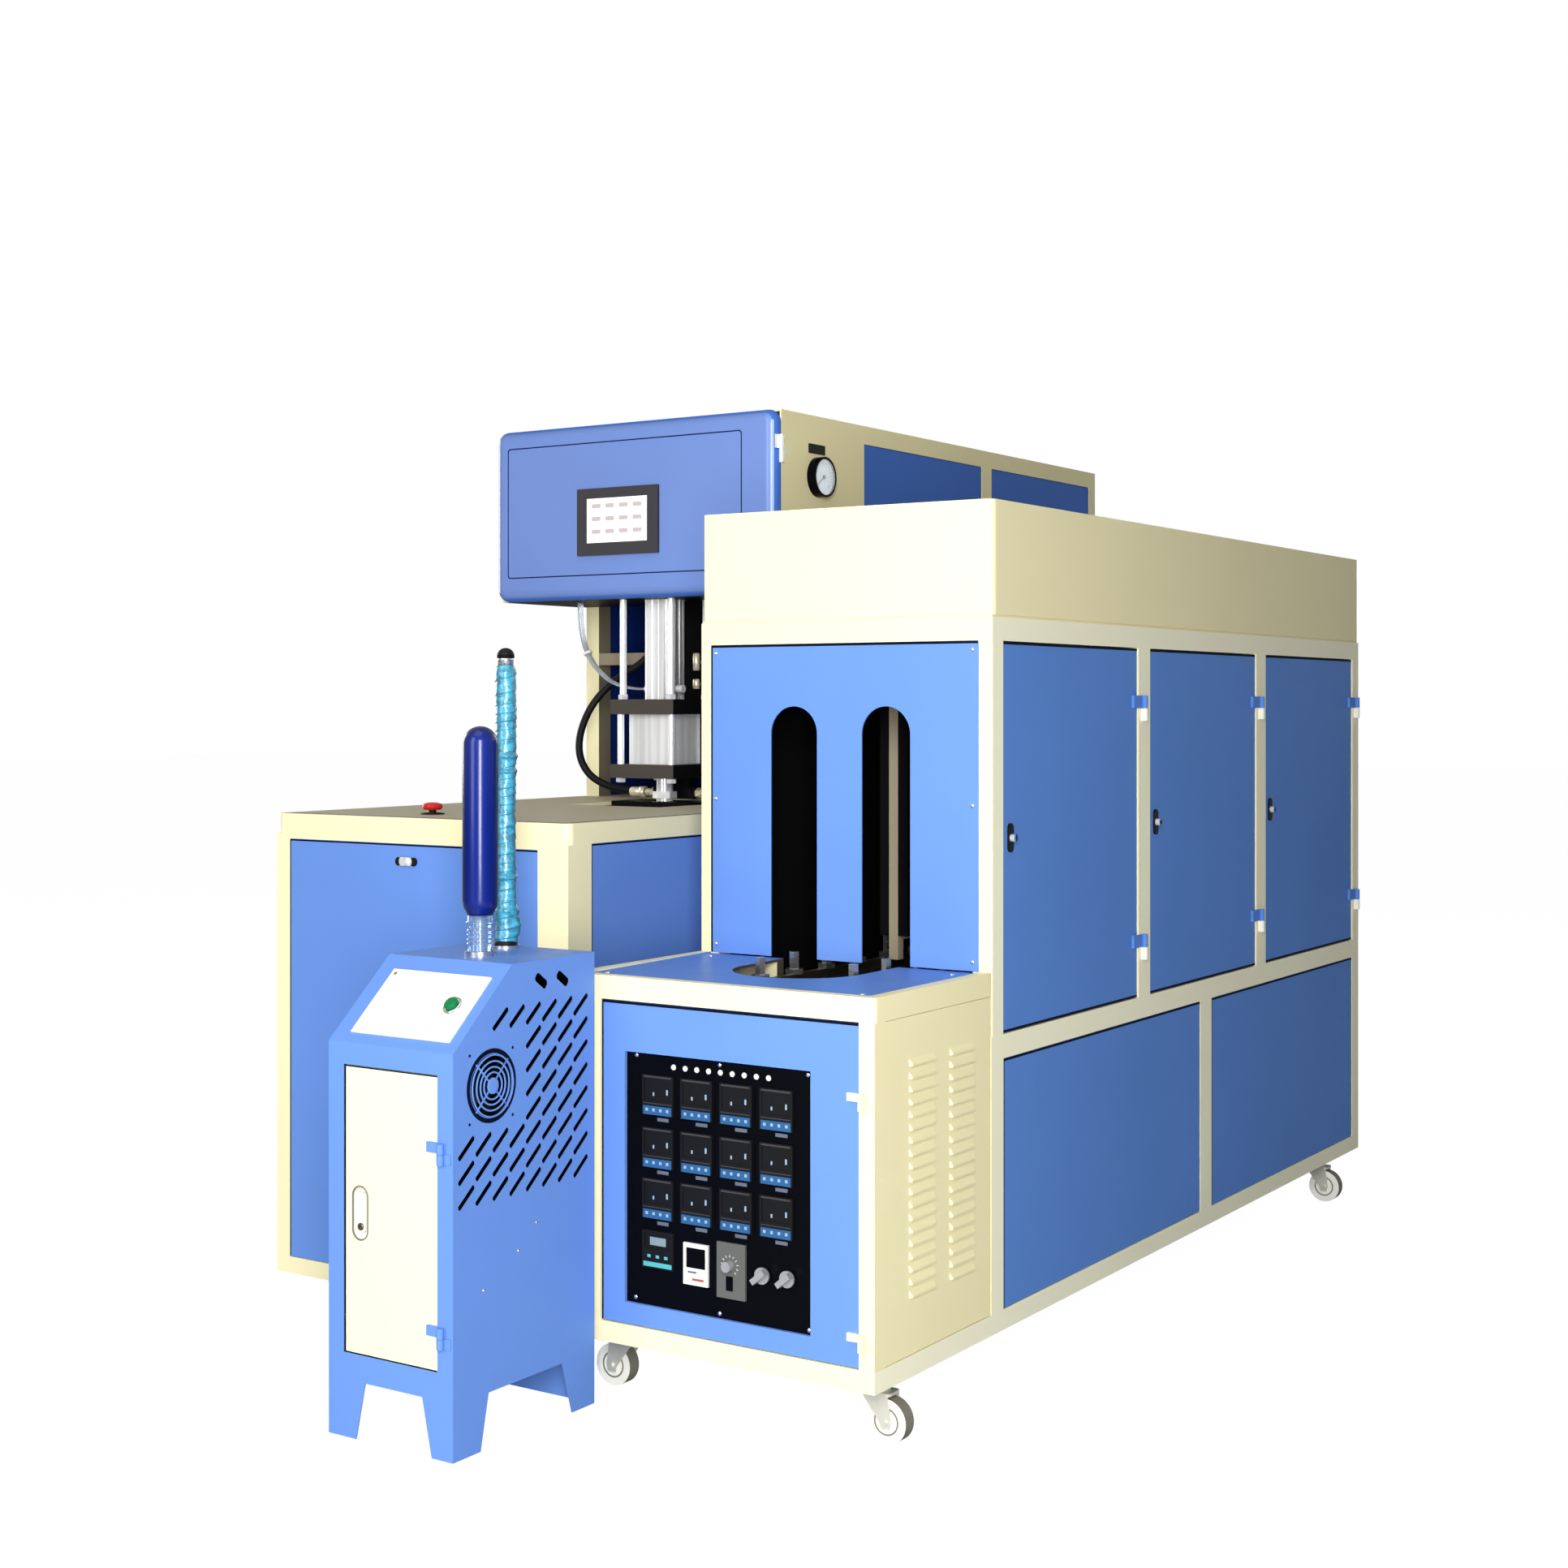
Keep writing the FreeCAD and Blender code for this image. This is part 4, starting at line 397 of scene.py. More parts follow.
# Painted shadow: dark strips in the gaps round doors and sheets, along the table's edges and round
# the fan guard.
PAINTED_SHADOW = Finish("painted_shadow", (8, 14, 34), 0.7)
ZINC = Finish("zinc_fork", (222, 221, 208), 0.35, Look.SATIN, patch=0.03)
KNOB = Finish("knob_metal", (172, 172, 176), 0.22, Look.SATIN, patch=0.01)
MATT_BLACK = plastic("black_plastic", (18, 18, 19), 0.5)
GLOSS_BLACK = Finish("gloss_black", (8, 9, 14), 0.2, relief=0.02, sheen=0.03)
BEZEL = plastic("bezel_grey", (62, 61, 64), 0.42)
IVORY = plastic("ivory_plastic", (232, 230, 222), 0.35)
UNIT_GREY = plastic("unit_grey", (96, 98, 94), 0.4)
RED = plastic("red_plastic", (190, 38, 30), 0.28, 0.001)
GREEN = plastic("green_plastic", (16, 120, 66), 0.2, 0.001)
KEY_BLUE = plastic("key_strip", (44, 92, 140), 0.35)
KEY_PALE = plastic("key_pale", (150, 172, 192), 0.35)
KEY_GREEN = plastic("timer_strip", (84, 176, 176), 0.35)
# Painted shade where the preform's surface turns away from the view.
PREFORM = Finish("preform_plastic", (5, 32, 126), 0.3, Look.GLOSS, vary=0.06, relief=0.0,
                 edge=0.97)
NECK = Finish("preform_neck", (150, 182, 228), 0.1, Look.CLEAR, vary=0.1, patch=0.01, relief=0.02)
# Painted shade where the film's surface turns away from the view.
FILM = Finish("cyan_film", (64, 164, 196), 0.34, Look.FILM, vary=0.55, patch=0.016,
              grain=0.005, relief=0.5, stretch=(1, 1, 2.0), edge=0.88)
HANDLE = plastic("handle_rim", (118, 116, 106), 0.25)
RUBBER = plastic("hose_rubber", (13, 13, 14), 0.5, 0.0012)
NYLON = plastic("wheel_nylon", (250, 248, 238), 0.4, 0.0015)
TREAD = plastic("wheel_tread", (128, 126, 112), 0.6, 0.0015)
TUBE = Finish("clear_tube", (206, 212, 220), 0.14, Look.CLEAR, relief=0.02)
DISPLAY = Finish("screen_lit", (246, 240, 236), 0.2, Look.LIGHT, relief=0.0, glow=0.45)
READOUT = Finish("timer_readout", (126, 142, 146), 0.2, Look.LIGHT, relief=0.0, glow=0.1)
LAMP = plastic("pilot_lens", (236, 234, 224), 0.15, 0.001)
DIAL = plastic("dial_face", (232, 238, 244), 0.3, 0.0006)
GLASS = Finish("gauge_glass", (240, 244, 246), 0.03, Look.CLEAR, relief=0.0)
MARK_RED = plastic("mark_red", (176, 88, 84), 0.4, 0.001)
MARK_GREY = plastic("mark_grey", (96, 104, 118), 0.4, 0.001)
MARK_PALE = plastic("mark_pale", (206, 192, 190), 0.4, 0.001)


# ---- shapes

def grid_faces(rows: int, columns: int, around: bool = True) -> np.ndarray:
    """Quads of a grid of points.

    Args:
        rows: number of rows.
        columns: points in each row.
        around: whether each row closes on itself.

    Returns:
        Four point numbers for each quad, n by 4.
    """
    i = np.arange(rows - 1)[:, None]
    j = np.arange(columns if around else columns - 1)[None, :]
    k = (j + 1) % columns
    quads = np.stack([i * columns + j, i * columns + k, (i + 1) * columns + k,
                      (i + 1) * columns + j], axis=-1)
    return quads.reshape(-1, 4)


def basis(axis: Vector) -> tuple[np.ndarray, np.ndarray, np.ndarray]:
    """Two directions square to an axis, and the axis, as a right-handed set.

    Args:
        axis: any direction, of any length.

    Returns:
        Unit vectors u, v and w, where w lies along the axis.
    """
    w = np.array(axis, float)
    w /= np.linalg.norm(w)
    up = np.array([0, 0, 1.0]) if abs(w[2]) < 0.9 else np.array([0, 1.0, 0])
    u = np.cross(up, w)
    u /= np.linalg.norm(u)
    return u, np.cross(w, u), w


class Forge:
    """Collects parts of one finish into a single mesh.

    Centres are points of the frame, in metres; every size is in millimetres.
    """

    def __init__(self, name: str, finish: Finish, body: str = MACHINE) -> None:
        """Starts an empty piece.

        Args:
            name: the piece's name.
            finish: what it is made of.
            body: the moving body that carries it.
        """
        self.name, self.finish, self.body = name, finish, body
        self.points: list[np.ndarray] = []
        self.faces: list[list[int]] = []
        self.count = 0

    def add(self, points: np.ndarray, faces: Iterable) -> None:
        """Adds points, and faces that number them from 0.

        Args:
            points: any array whose last axis is x, y and z.
            faces: point numbers of each face.
        """
        self.faces += [[int(n) + self.count for n in face] for face in faces]
        self.points.append(points.reshape(-1, 3))
        self.count += len(self.points[-1])

    def _spin(self, centre: np.ndarray, axis: Vector, profile: Profile,
              sides: int) -> np.ndarray:
        """Points of a profile of (radius, height) carried round an axis.

        point(k, a) = centre + r_k (u cos a + v sin a) + h_k w.

        Args:
            centre: the point that heights start from.
            axis: direction of the heights.
            profile: radius and height of each ring.
            sides: number of points round the axis.

        Returns:
            The points, rings by sides by 3.
        """
        u, v, w = basis(axis)
        r, h = np.array(profile, float).T / 1000
        a = np.linspace(0, 2 * math.pi, sides, endpoint=False)
        spoke = np.cos(a)[:, None] * u + np.sin(a)[:, None] * v
        return centre + r[:, None, None] * spoke[None] + (h[:, None] * w)[:, None, :]

    def lathe(self, centre: np.ndarray, axis: Vector, profile: Profile,
              sides: int = 32) -> None:
        """A profile of (radius, height) carried round an axis, with closed ends."""
        self._capped(self._spin(centre, axis, profile, sides))

    def ring(self, centre: np.ndarray, axis: Vector, section: Profile,
             sides: int = 64) -> None:
        """A closed section of (radius, height) carried round an axis, open within.

        Args:
            centre: the point that heights start from.
            axis: direction of the heights.
            section: radius and height of the section's corners, in turn.
            sides: number of points round the axis.
        """
        rows = len(section)
        self.add(self._spin(centre, axis, section, sides),
                 grid_faces(rows + 1, sides) % (rows * sides))

    def _capped(self, rings: np.ndarray) -> None:
        """Adds a stack of rings of points, closed at both ends.

        Args:
            rings: the points, rings by sides by 3.
        """
        rows, sides = rings.shape[:2]
        faces = [list(quad) for quad in grid_faces(rows, sides)]
        faces.append(list(range(sides))[::-1])
        faces.append(list(range((rows - 1) * sides, rows * sides)))
        self.add(rings, faces)

    def plate(self, centre: np.ndarray, right: Vector, up: Vector,
              width: float, height: float, thick: float, corner: float = 0.0,
              edge: float = 0.0) -> None:
        """A rounded plate that stands on centre and rises along right x up.

        The outline is a rectangle whose corners are quarter circles; the rings above
        it shrink along a quarter circle of radius edge, which rolls the rim over.

        Args:
            centre: middle of the plate's back.
            right: direction of its width.
            up: direction of its height.
            width: size along right.
            height: size along up.
            thick: size along right x up.
            corner: radius of the outline's corners.
            edge: radius of the rolled rim.
        """
        right, up = np.array(right, float), np.array(up, float)
        out = np.cross(right, up)
        width, height, thick, corner, edge = (
            size / 1000 for size in (width, height, thick, corner, edge))
        corner = max(corner, edge, LEAST_CORNER)
        a = np.linspace(0, math.pi / 2, 5 if corner > SHARP_CORNER else 2)
        steps = np.linspace(0, math.pi / 2, 4) if edge > 0 else np.array([0.0])
        insets = [0.0] + list(edge * (1 - np.cos(steps)))
        lifts = [0.0] + list(thick - edge + edge * np.sin(steps))
        rings = []
        for inset, lift in zip(insets, lifts):
            r = max(corner - inset, LEAST_RADIUS)
            w, h = width / 2 - inset - r, height / 2 - inset - r
            x = np.concatenate([w + r * np.cos(a), -w - r * np.sin(a),
                                -w - r * np.cos(a), w + r * np.sin(a)])
            y = np.concatenate([h + r * np.sin(a), h + r * np.cos(a),
                                -h - r * np.sin(a), -h - r * np.cos(a)])
            rings.append(centre + x[:, None] * right + y[:, None] * up + lift * out)
        self._capped(np.stack(rings))

    def dome(self, centre: np.ndarray, axis: Vector, radius: float, height: float,
             steps: int, sides: int) -> None:
        """A quarter ellipse carried round an axis."""
        self.lathe(centre, axis, quarter(radius, height, steps), sides)

    def screw(self, centre: np.ndarray, axis: Vector, radius: float) -> None:
        """A pan-head screw: a dome that sits on the surface."""
        self.dome(centre, axis, radius, HEAD_SHARE * radius, 5, 14)

    def done(self, smooth: bool = False) -> bpy.types.Object:
        """Makes the object and lets it ride on its body.

        Args:
            smooth: whether its edges look round instead of crisp.

        Returns:
            The object.
        """
        mesh = bpy.data.meshes.new(self.name)
        mesh.from_pydata(np.concatenate(self.points).tolist(), [], self.faces)
        mesh.polygons.foreach_set("use_smooth", np.full(len(mesh.polygons), True))
        mesh.update()
        mesh.materials.append(self.finish.build())
        obj = into_scene(self.name, mesh)
        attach(obj, self.body)
        if not smooth:
            obj.modifiers.new("crisp", "EDGE_SPLIT").split_angle = CRISP_ANGLE
        return obj


def quarter(radius: float, height: float, steps: int,
            base: float = 0.0) -> list[tuple[float, float]]:
    """Profile of a dome: a quarter ellipse from its rim at height base up to its tip."""
    return [(radius * math.cos(a) + TIP, base + height * math.sin(a))
            for a in np.linspace(0, math.pi / 2, steps)]


def paint(name: str, finish: Finish) -> None:
    """Gives a CAD node one finish all over.

    Args:
        name: the CAD node.
        finish: what it is made of.
    """
    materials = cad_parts[name].data.materials
    materials.clear()
    materials.append(finish.build())


def face_middles(name: str) -> np.ndarray:
    """The middle of every face of a CAD node.

    Args:
        name: the CAD node.

    Returns:
        Points of the frame, n by 3.
    """
    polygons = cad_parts[name].data.polygons
    middles = np.zeros(len(polygons) * 3)
    polygons.foreach_get("center", middles)
    return middles.reshape(-1, 3)


def repaint(name: str, finish: Finish, inside: np.ndarray) -> None:
    """Gives another finish to some faces of a CAD node.

    Args:
        name: the CAD node.
        finish: what those faces are made of.
        inside: for each face, whether it is one of them.
    """
    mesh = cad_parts[name].data
    slots = [m.name for m in mesh.materials]
    if finish.label not in slots:
        mesh.materials.append(finish.build())
        slots.append(finish.label)
    index = np.zeros(len(mesh.polygons), np.int32)
    mesh.polygons.foreach_get("material_index", index)
    index[inside] = slots.index(finish.label)
    mesh.polygons.foreach_set("material_index", index)
    mesh.update()


def patch(name: str, finish: Finish, low: Vector, high: Vector) -> None:
    """Gives another finish to a CAD node's faces whose middle lies in a box.

    Args:
        name: the CAD node.
        finish: what those faces are made of.
        low: lowest corner of the box, millimetres off the oven's foot.
        high: highest corner.
    """
    middles = face_middles(name)
    repaint(name, finish, np.all((middles >= plan(*low)) & (middles <= plan(*high)), axis=1))


def turned(name: str, finish: Finish, centre: np.ndarray, axis: Vector,
           profile: Profile, sides: int, smooth: bool = False,
           body: str = MACHINE) -> bpy.types.Object:
    """A piece that is one profile carried round an axis.

    Args:
        name: the piece's name.
        finish: what it is made of.
        centre: the point that heights start from.
        axis: direction of the heights.
        profile: radius and height of each ring.
        sides: number of points round the axis.
        smooth: whether its edges look round instead of crisp.
        body: the moving body that carries it.

    Returns:
        The object.
    """
    forge = Forge(name, finish, body)
    forge.lathe(centre, axis, profile, sides)
    return forge.done(smooth)


def plates(name: str, finish: Finish, face: tuple[Vector, Vector], rows: Iterable[Vector],
           body: str = MACHINE) -> None:
    """A piece made of plates that face one way.

    Args:
        name: the piece's name.
        finish: what it is made of.
        face: the directions right and up on its face.
        rows: for each plate the middle of its back off the oven's foot (x, y, z), its
            width, height and thickness and, if rounded, its corner and edge radius.
        body: the moving body that carries it.
    """
    forge = Forge(name, finish, body)
    for x, y, z, *sizes in rows:
        forge.plate(plan(x, y, z), *face, *sizes)
    forge.done()


def stand_in(piece: bpy.types.Object, node: str) -> None:
    """Hides the CAD node whose place a piece takes."""
    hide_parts(node)


def screws(name: str, finish: Finish, places: Iterable[np.ndarray],
           axis: Vector, radius: float, body: str = MACHINE) -> None:
    """A piece made of equal pan-head screws.

    Args:
        name: the piece's name.
        finish: what it is made of.
        places: middle of each head's foot, as points of the frame.
        axis: direction in which the heads rise.
        radius: radius of a head.
        body: the moving body that carries it.
    """
    heads = Forge(name, finish, body)
    for middle in places:
        heads.screw(middle, axis, radius)
    heads.done(smooth=True)


# ---- sub-assemblies

@dataclass(frozen=True)
class Dressing:
    """A sub-assembly: the finishes of its CAD nodes and the pieces added to them.

    Attributes:
        coats: a finish, and the nodes that have it all over.
        areas: node, finish, and the lowest and highest corner of a box, in millimetres
            off the oven's foot, whose faces have that finish instead.
    """

    coats: Coats = ()
    areas: Areas = ()

    def build(self) -> None:
        """Paints the nodes, then the areas on them, and adds the pieces."""
        for finish, names in self.coats:
            for name in names.split():
                paint(name, finish)
        for area in self.areas:
            patch(*area)
        self.fit()

    def fit(self) -> None:
        """Adds the sub-assembly's own pieces."""
        raise NotImplementedError


@dataclass(frozen=True)
class OvenDressing(Dressing):
    """Finishes, screws, wheels and locks of the oven, and dark sheets of painted shade inside its
    tunnel.

    Attributes:
        door_starts: where each tunnel door begins, millimetres off the oven's foot.
        tread_share: share of a wheel's radius outside which it is tread.
    """

    coats: Coats = (
        (CREAM, "oven_frame oven_hood hinge_leaves louvre_panel counter_plate"),
        (BLUE, "oven_front_panel control_door"),
        # Painted shade: the side panels and doors are a darker copy of the blue.
        (SHADED_SIDE_BLUE, "oven_panels oven_door_1 oven_door_2 oven_door_3"),
        (GUNMETAL_AND_SHADE, "caster_plates"),
        (CHAIN, "conveyor_chain conveyor_drive"),
        (STEEL, "preform_spindles"),
        # Painted shade: the lamp bank is black.
        (HOLLOW_SHADE, "lamp_bank"),
        (ZINC, "caster_fork_1 caster_fork_2 caster_fork_3 caster_fork_4"),
        (NYLON, "caster_wheel_1 caster_wheel_2 caster_wheel_3 caster_wheel_4"),
    )
    areas: Areas = (
        # Painted light: the frame's rails and posts on the right side are a lighter copy of the
        # cream.
        ("oven_frame", LIT_RAIL_CREAM, (-0.6, 410, 100), (0.6, 2400, 1390)),
        ("counter_plate", BLUE, (-612, 20, 746), (-20, 390, 749)),
        # Painted shade: the counter's inside below its hole.
        ("counter_plate", GUNMETAL_AND_SHADE, (-460, 130, 690), (-180, 403.9, 745.9)),
        # Painted shade: the post inside the lamp bank is a darker copy of the cream.
        ("lamp_bank", SHADED_CREAM, (-330, 590, 700), (-306, 2160, 1330)),
        ("hinge_leaves", WHITE, (0.1, 1000, 700), (14, 2400, 1250)),
        ("control_door", CREAM, (-62, -16, 160), (0, 2.9, 220)),
        ("control_door", CREAM, (-62, -16, 550), (0, 2.9, 610)),
    )
    door_starts: tuple[float, ...] = (445, 1085, 1727)
    tread_share: float = 0.955

    def fit(self) -> None:
        """Colours locks and wheels and adds the oven's small pieces."""
        for number, start in enumerate(self.door_starts, 1):
            self._lock(f"oven_door_{number}", start)
        for number in range(1, 5):
            self._wheel(number)
        heads = Forge("oven_screws", CHROME)
        for x, y in ((-51, 47), (-56, 358), (-580, 47), (-576, 358)):
            heads.screw(plan(x, y, 747), UP, 5)
        for x in (-596, -39):
            for z in (766, 1044, 1322):
                heads.screw(plan(x, 402, z), FRONT, 4)
        heads.done(smooth=True)
        # Painted shade: dark sheets inside the tunnel.
        shade_sheets = Forge("tunnel_shade_sheets", HOLLOW_SHADE)
        shade_sheets.plate(plan(-580, 1385, 985), *RIGHT_FACE, 1860, 680, 4)
        shade_sheets.plate(plan(-320, 1385, 1336), BACK, RIGHT, 1860, 500, 4)
        shade_sheets.done()

    def _wheel(self, number: int) -> None:
        """Colours a wheel's tread and adds a raised ring on each side.

        Args:
            number: the caster's number, from 1.
        """
        name = f"caster_wheel_{number}"
        low, high = (np.array(corner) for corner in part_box(name))
        middle, radius = (low + high) / 2, (high[2] - low[2]) / 2
        half = (high[1] - low[1]) / 2
        reach = np.linalg.norm((face_middles(name) - middle)[:, [0, 2]], axis=1)
        repaint(name, TREAD, reach > self.tread_share * radius)
        hub = Forge(f"wheel_hub_{number}", TREAD, f"wheel_{number}")
        for side in (-1, 1):
            hub.lathe(middle + np.array([0, side * half, 0]), (0, side, 0),
                      [(23.5, -0.5), (23.5, 0.6), (20.5, 0.6), (20.5, -0.5)], 40)
        hub.done()

    @staticmethod
    def _lock(name: str, start: float) -> None:
        """Black lock plate and a knob whose front half is bright nickel, partly a painted
        highlight, and whose back half is black.

        Args:
            name: the door's CAD node.
            start: where the door begins, millimetres off the oven's foot.
        """
        patch(name, MATT_BLACK, (-3.5, start + 18, 955), (1.5, start + 42, 1015))
        # Painted highlight: the knob's front half is bright, its back half black.
        patch(name, NICKEL, (2.0, start + 18, 970), (9.5, start + 30, 1000))
        patch(name, MATT_BLACK, (2.0, start + 30.01, 970), (11, start + 42, 1000))


@dataclass(frozen=True)
class ShadowStrip:
    """Painted shadow: dark strips along the top and the left of one sheet, as seen from outside.

    Attributes:
        name: the piece's name.
        body: the moving body that carries it.
        right: whether the sheet faces right; otherwise it faces front.
        face: where the sheet's face lies, millimetres off the oven's foot.
        span: from and to, across the sheet.
        rise: from and to, upright.
        width: breadth of each strip, in millimetres.
        foot: whether a strip runs along the bottom too.
        thick: thickness of the edging, in millimetres.
    """

    name: str
    body: str
    right: bool
    face: float
    span: tuple[float, float]
    rise: tuple[float, float]
    width: float = 3.0
    foot: bool = False
    thick: float = 0.6

    def build(self) -> None:
        """Lays a strip along the top, one down the left side and, if asked, one below."""
        (left, right), (low, high), w = self.span, self.rise, self.width
        middle, start = (left + right) / 2, low + w if self.foot else low
        strips = [(middle, high - w / 2, right - left, w),
                  (left + w / 3, (start + high - w) / 2, w * 2 / 3, high - start - w)]
        if self.foot:
            strips.append((middle, low + w / 2, right - left, w))
        rows = [(self.face, a, z, wide, tall, self.thick) if self.right
                else (a, self.face, z, wide, tall, self.thick) for a, z, wide, tall in strips]
        plates(self.name, PAINTED_SHADOW, RIGHT_FACE if self.right else FRONT_FACE, rows, self.body)


@dataclass(frozen=True)
class SheetShadows:
    """Painted shadow strips round every door and fixed sheet that the photograph shows.

    Attributes:
        edges: one for each sheet, lower panels and outer sheets after the doors.
    """

    edges: tuple[ShadowStrip, ...] = (
        ShadowStrip("door_shadow_1", "oven_door_1", True, -3, (447, 1026), (638, 1336), 4, True),
        ShadowStrip("door_shadow_2", "oven_door_2", True, -3, (1087, 1668), (638, 1336), 4, True),
        ShadowStrip("door_shadow_3", "oven_door_3", True, -3, (1729, 2320), (638, 1336), 4, True),
        ShadowStrip("lower_shadow_1", MACHINE, True, -1, (447.5, 1344.5), (146.5, 591.5), 4),
        ShadowStrip("lower_shadow_2", MACHINE, True, -1, (1409.5, 2316.5), (146.5, 591.5), 4),
        ShadowStrip("control_shadow", "control_door_panel", False, 3, (-559, -32), (147, 707), 4.5),
        ShadowStrip("arch_shadow", MACHINE, False, 402, (-607, -28), (750, 1338), 5),
        ShadowStrip("press_shadow", MACHINE, False, 294, (-1632.1, -949.1), (46.5, 937)),
        ShadowStrip("press_side_shadow", MACHINE, True, -871.6, (367.5, 1400), (46.5, 948.5)),
        ShadowStrip("stand_shadow", "stand_door", False, -372, (-809, -603), (143, 621), 2),
    )

    def build(self) -> None:
        """Lays the painted shadow strips sheet by sheet."""
        for edge in self.edges:
            edge.build()


@dataclass(frozen=True)
class InstrumentDressing(Dressing):
    """Finishes, faces, keys, lenses and screws of the instrument panel.

    Attributes:
        body: the door that carries them.
        columns: left sides of the controllers, millimetres off the oven's foot.
        tops: their upper sides.
        size: their width.
        lamps: number of pilot lamps.
        first_lamp: middle of the left one, millimetres off the oven's foot.
        lamp_pitch: from one lamp to the next, in millimetres.
    """

    coats: Coats = (
        (GLOSS_BLACK, "instrument_panel"),
        (MATT_BLACK, "temperature_controllers panel_meters"),
        (KNOB, "speed_knob selector_left selector_right"),
    )
    areas: Areas = (
        ("panel_meters", IVORY, (-386, 3, 232), (-333, 12, 305)),
        ("panel_meters", UNIT_GREY, (-316, 3, 220), (-256, 12, 316)),
    )
    body: str = "control_door_panel"
    columns: tuple[float, ...] = (-472.5, -390.8, -309.1, -227.4)
    tops: tuple[float, ...] = (584, 493, 405)
    size: float = 66.0
    lamps: int = 9
    first_lamp: float = -405
    lamp_pitch: float = 24.5

    def fit(self) -> None:
        """Adds the faces, keys, lamps and screws."""
        self._controllers()
        lens = Forge("pilot_lenses", LAMP, self.body)
        for k in range(self.lamps):
            lens.dome(plan(self.first_lamp + self.lamp_pitch * k, 5, 601), FRONT, 5.2, 4, 6, 18)
        lens.done(smooth=True)
        self._meters()
        screws("panel_screws", CHROME,
               [plan(x, 8.5, z) for x, z in ((-487, 615), (-133, 613), (-489, 194),
                                             (-131, 192), (-311, 192), (-311, 613))],
               FRONT, 4.2, self.body)

    def _controllers(self) -> None:
        """Blue key strip, keys, bright edge and two marks on each controller."""
        spots = [(left + self.size / 2, top) for left in self.columns for top in self.tops]
        for name, finish, rows in (
                ("controller_strips", KEY_BLUE, [(0, 4, -61, 60, 15, 0.6)]),
                ("controller_keys", KEY_PALE,
                 [*((-22 + 14.6 * k, 3.4, -60, 5, 5, 0.6) for k in range(4)),
                  (-9, 5.4, -33, 3, 6, 0.6), (20, 5.4, -28, 3.4, 9, 0.6)]),
                ("controller_edges", BEZEL, [(0, 4, -3.2, 58, 3, 0.6), (0, 4, -49, 60, 1.6, 0.6)]),
                ("controller_labels", MARK_GREY, [(8, 10, -77, 24, 6, 0.6)])):
            plates(name, finish, FRONT_FACE, [(x + across, y, z + up, *sizes) for x, z in spots
                                              for across, y, up, *sizes in rows], self.body)

    def _meters(self) -> None:
        """Timer display and keys, the meter's window, and the speed unit's scale."""
        for name, finish, rows in (
                ("timer_display", READOUT, [(-439, 5.4, 297, 34, 14, 0.6)]),
                ("timer_keys", KEY_GREEN, [(-439, 4, 257, 60, 8, 0.6),
                                           *((-457 + 18 * k, 4, 271, 7, 5, 0.6)
                                             for k in range(3))]),
                ("meter_window", GLOSS_BLACK, [(-359.5, 6.4, 279, 39, 34, 0.6),
                                               (-288, 5, 247, 13, 24, 2)]),
                ("meter_marks", MARK_RED, [(-354, 5, 243, 24, 4, 0.6)]),
                ("meter_label", MARK_GREY, [(-366, 5, 255, 18, 3, 0.6)])):
            plates(name, finish, FRONT_FACE, rows, self.body)
        ticks = Forge("speed_scale", IVORY, self.body)
        for k in range(11):
            a = math.radians(-135 + 27 * k)
            ticks.plate(plan(-288 + 16 * math.sin(a), 5.0, 277 + 16 * math.cos(a)),
                        (math.cos(a), 0, -math.sin(a)), (math.sin(a), 0, math.cos(a)), 1, 4, 0.4)
        ticks.done()


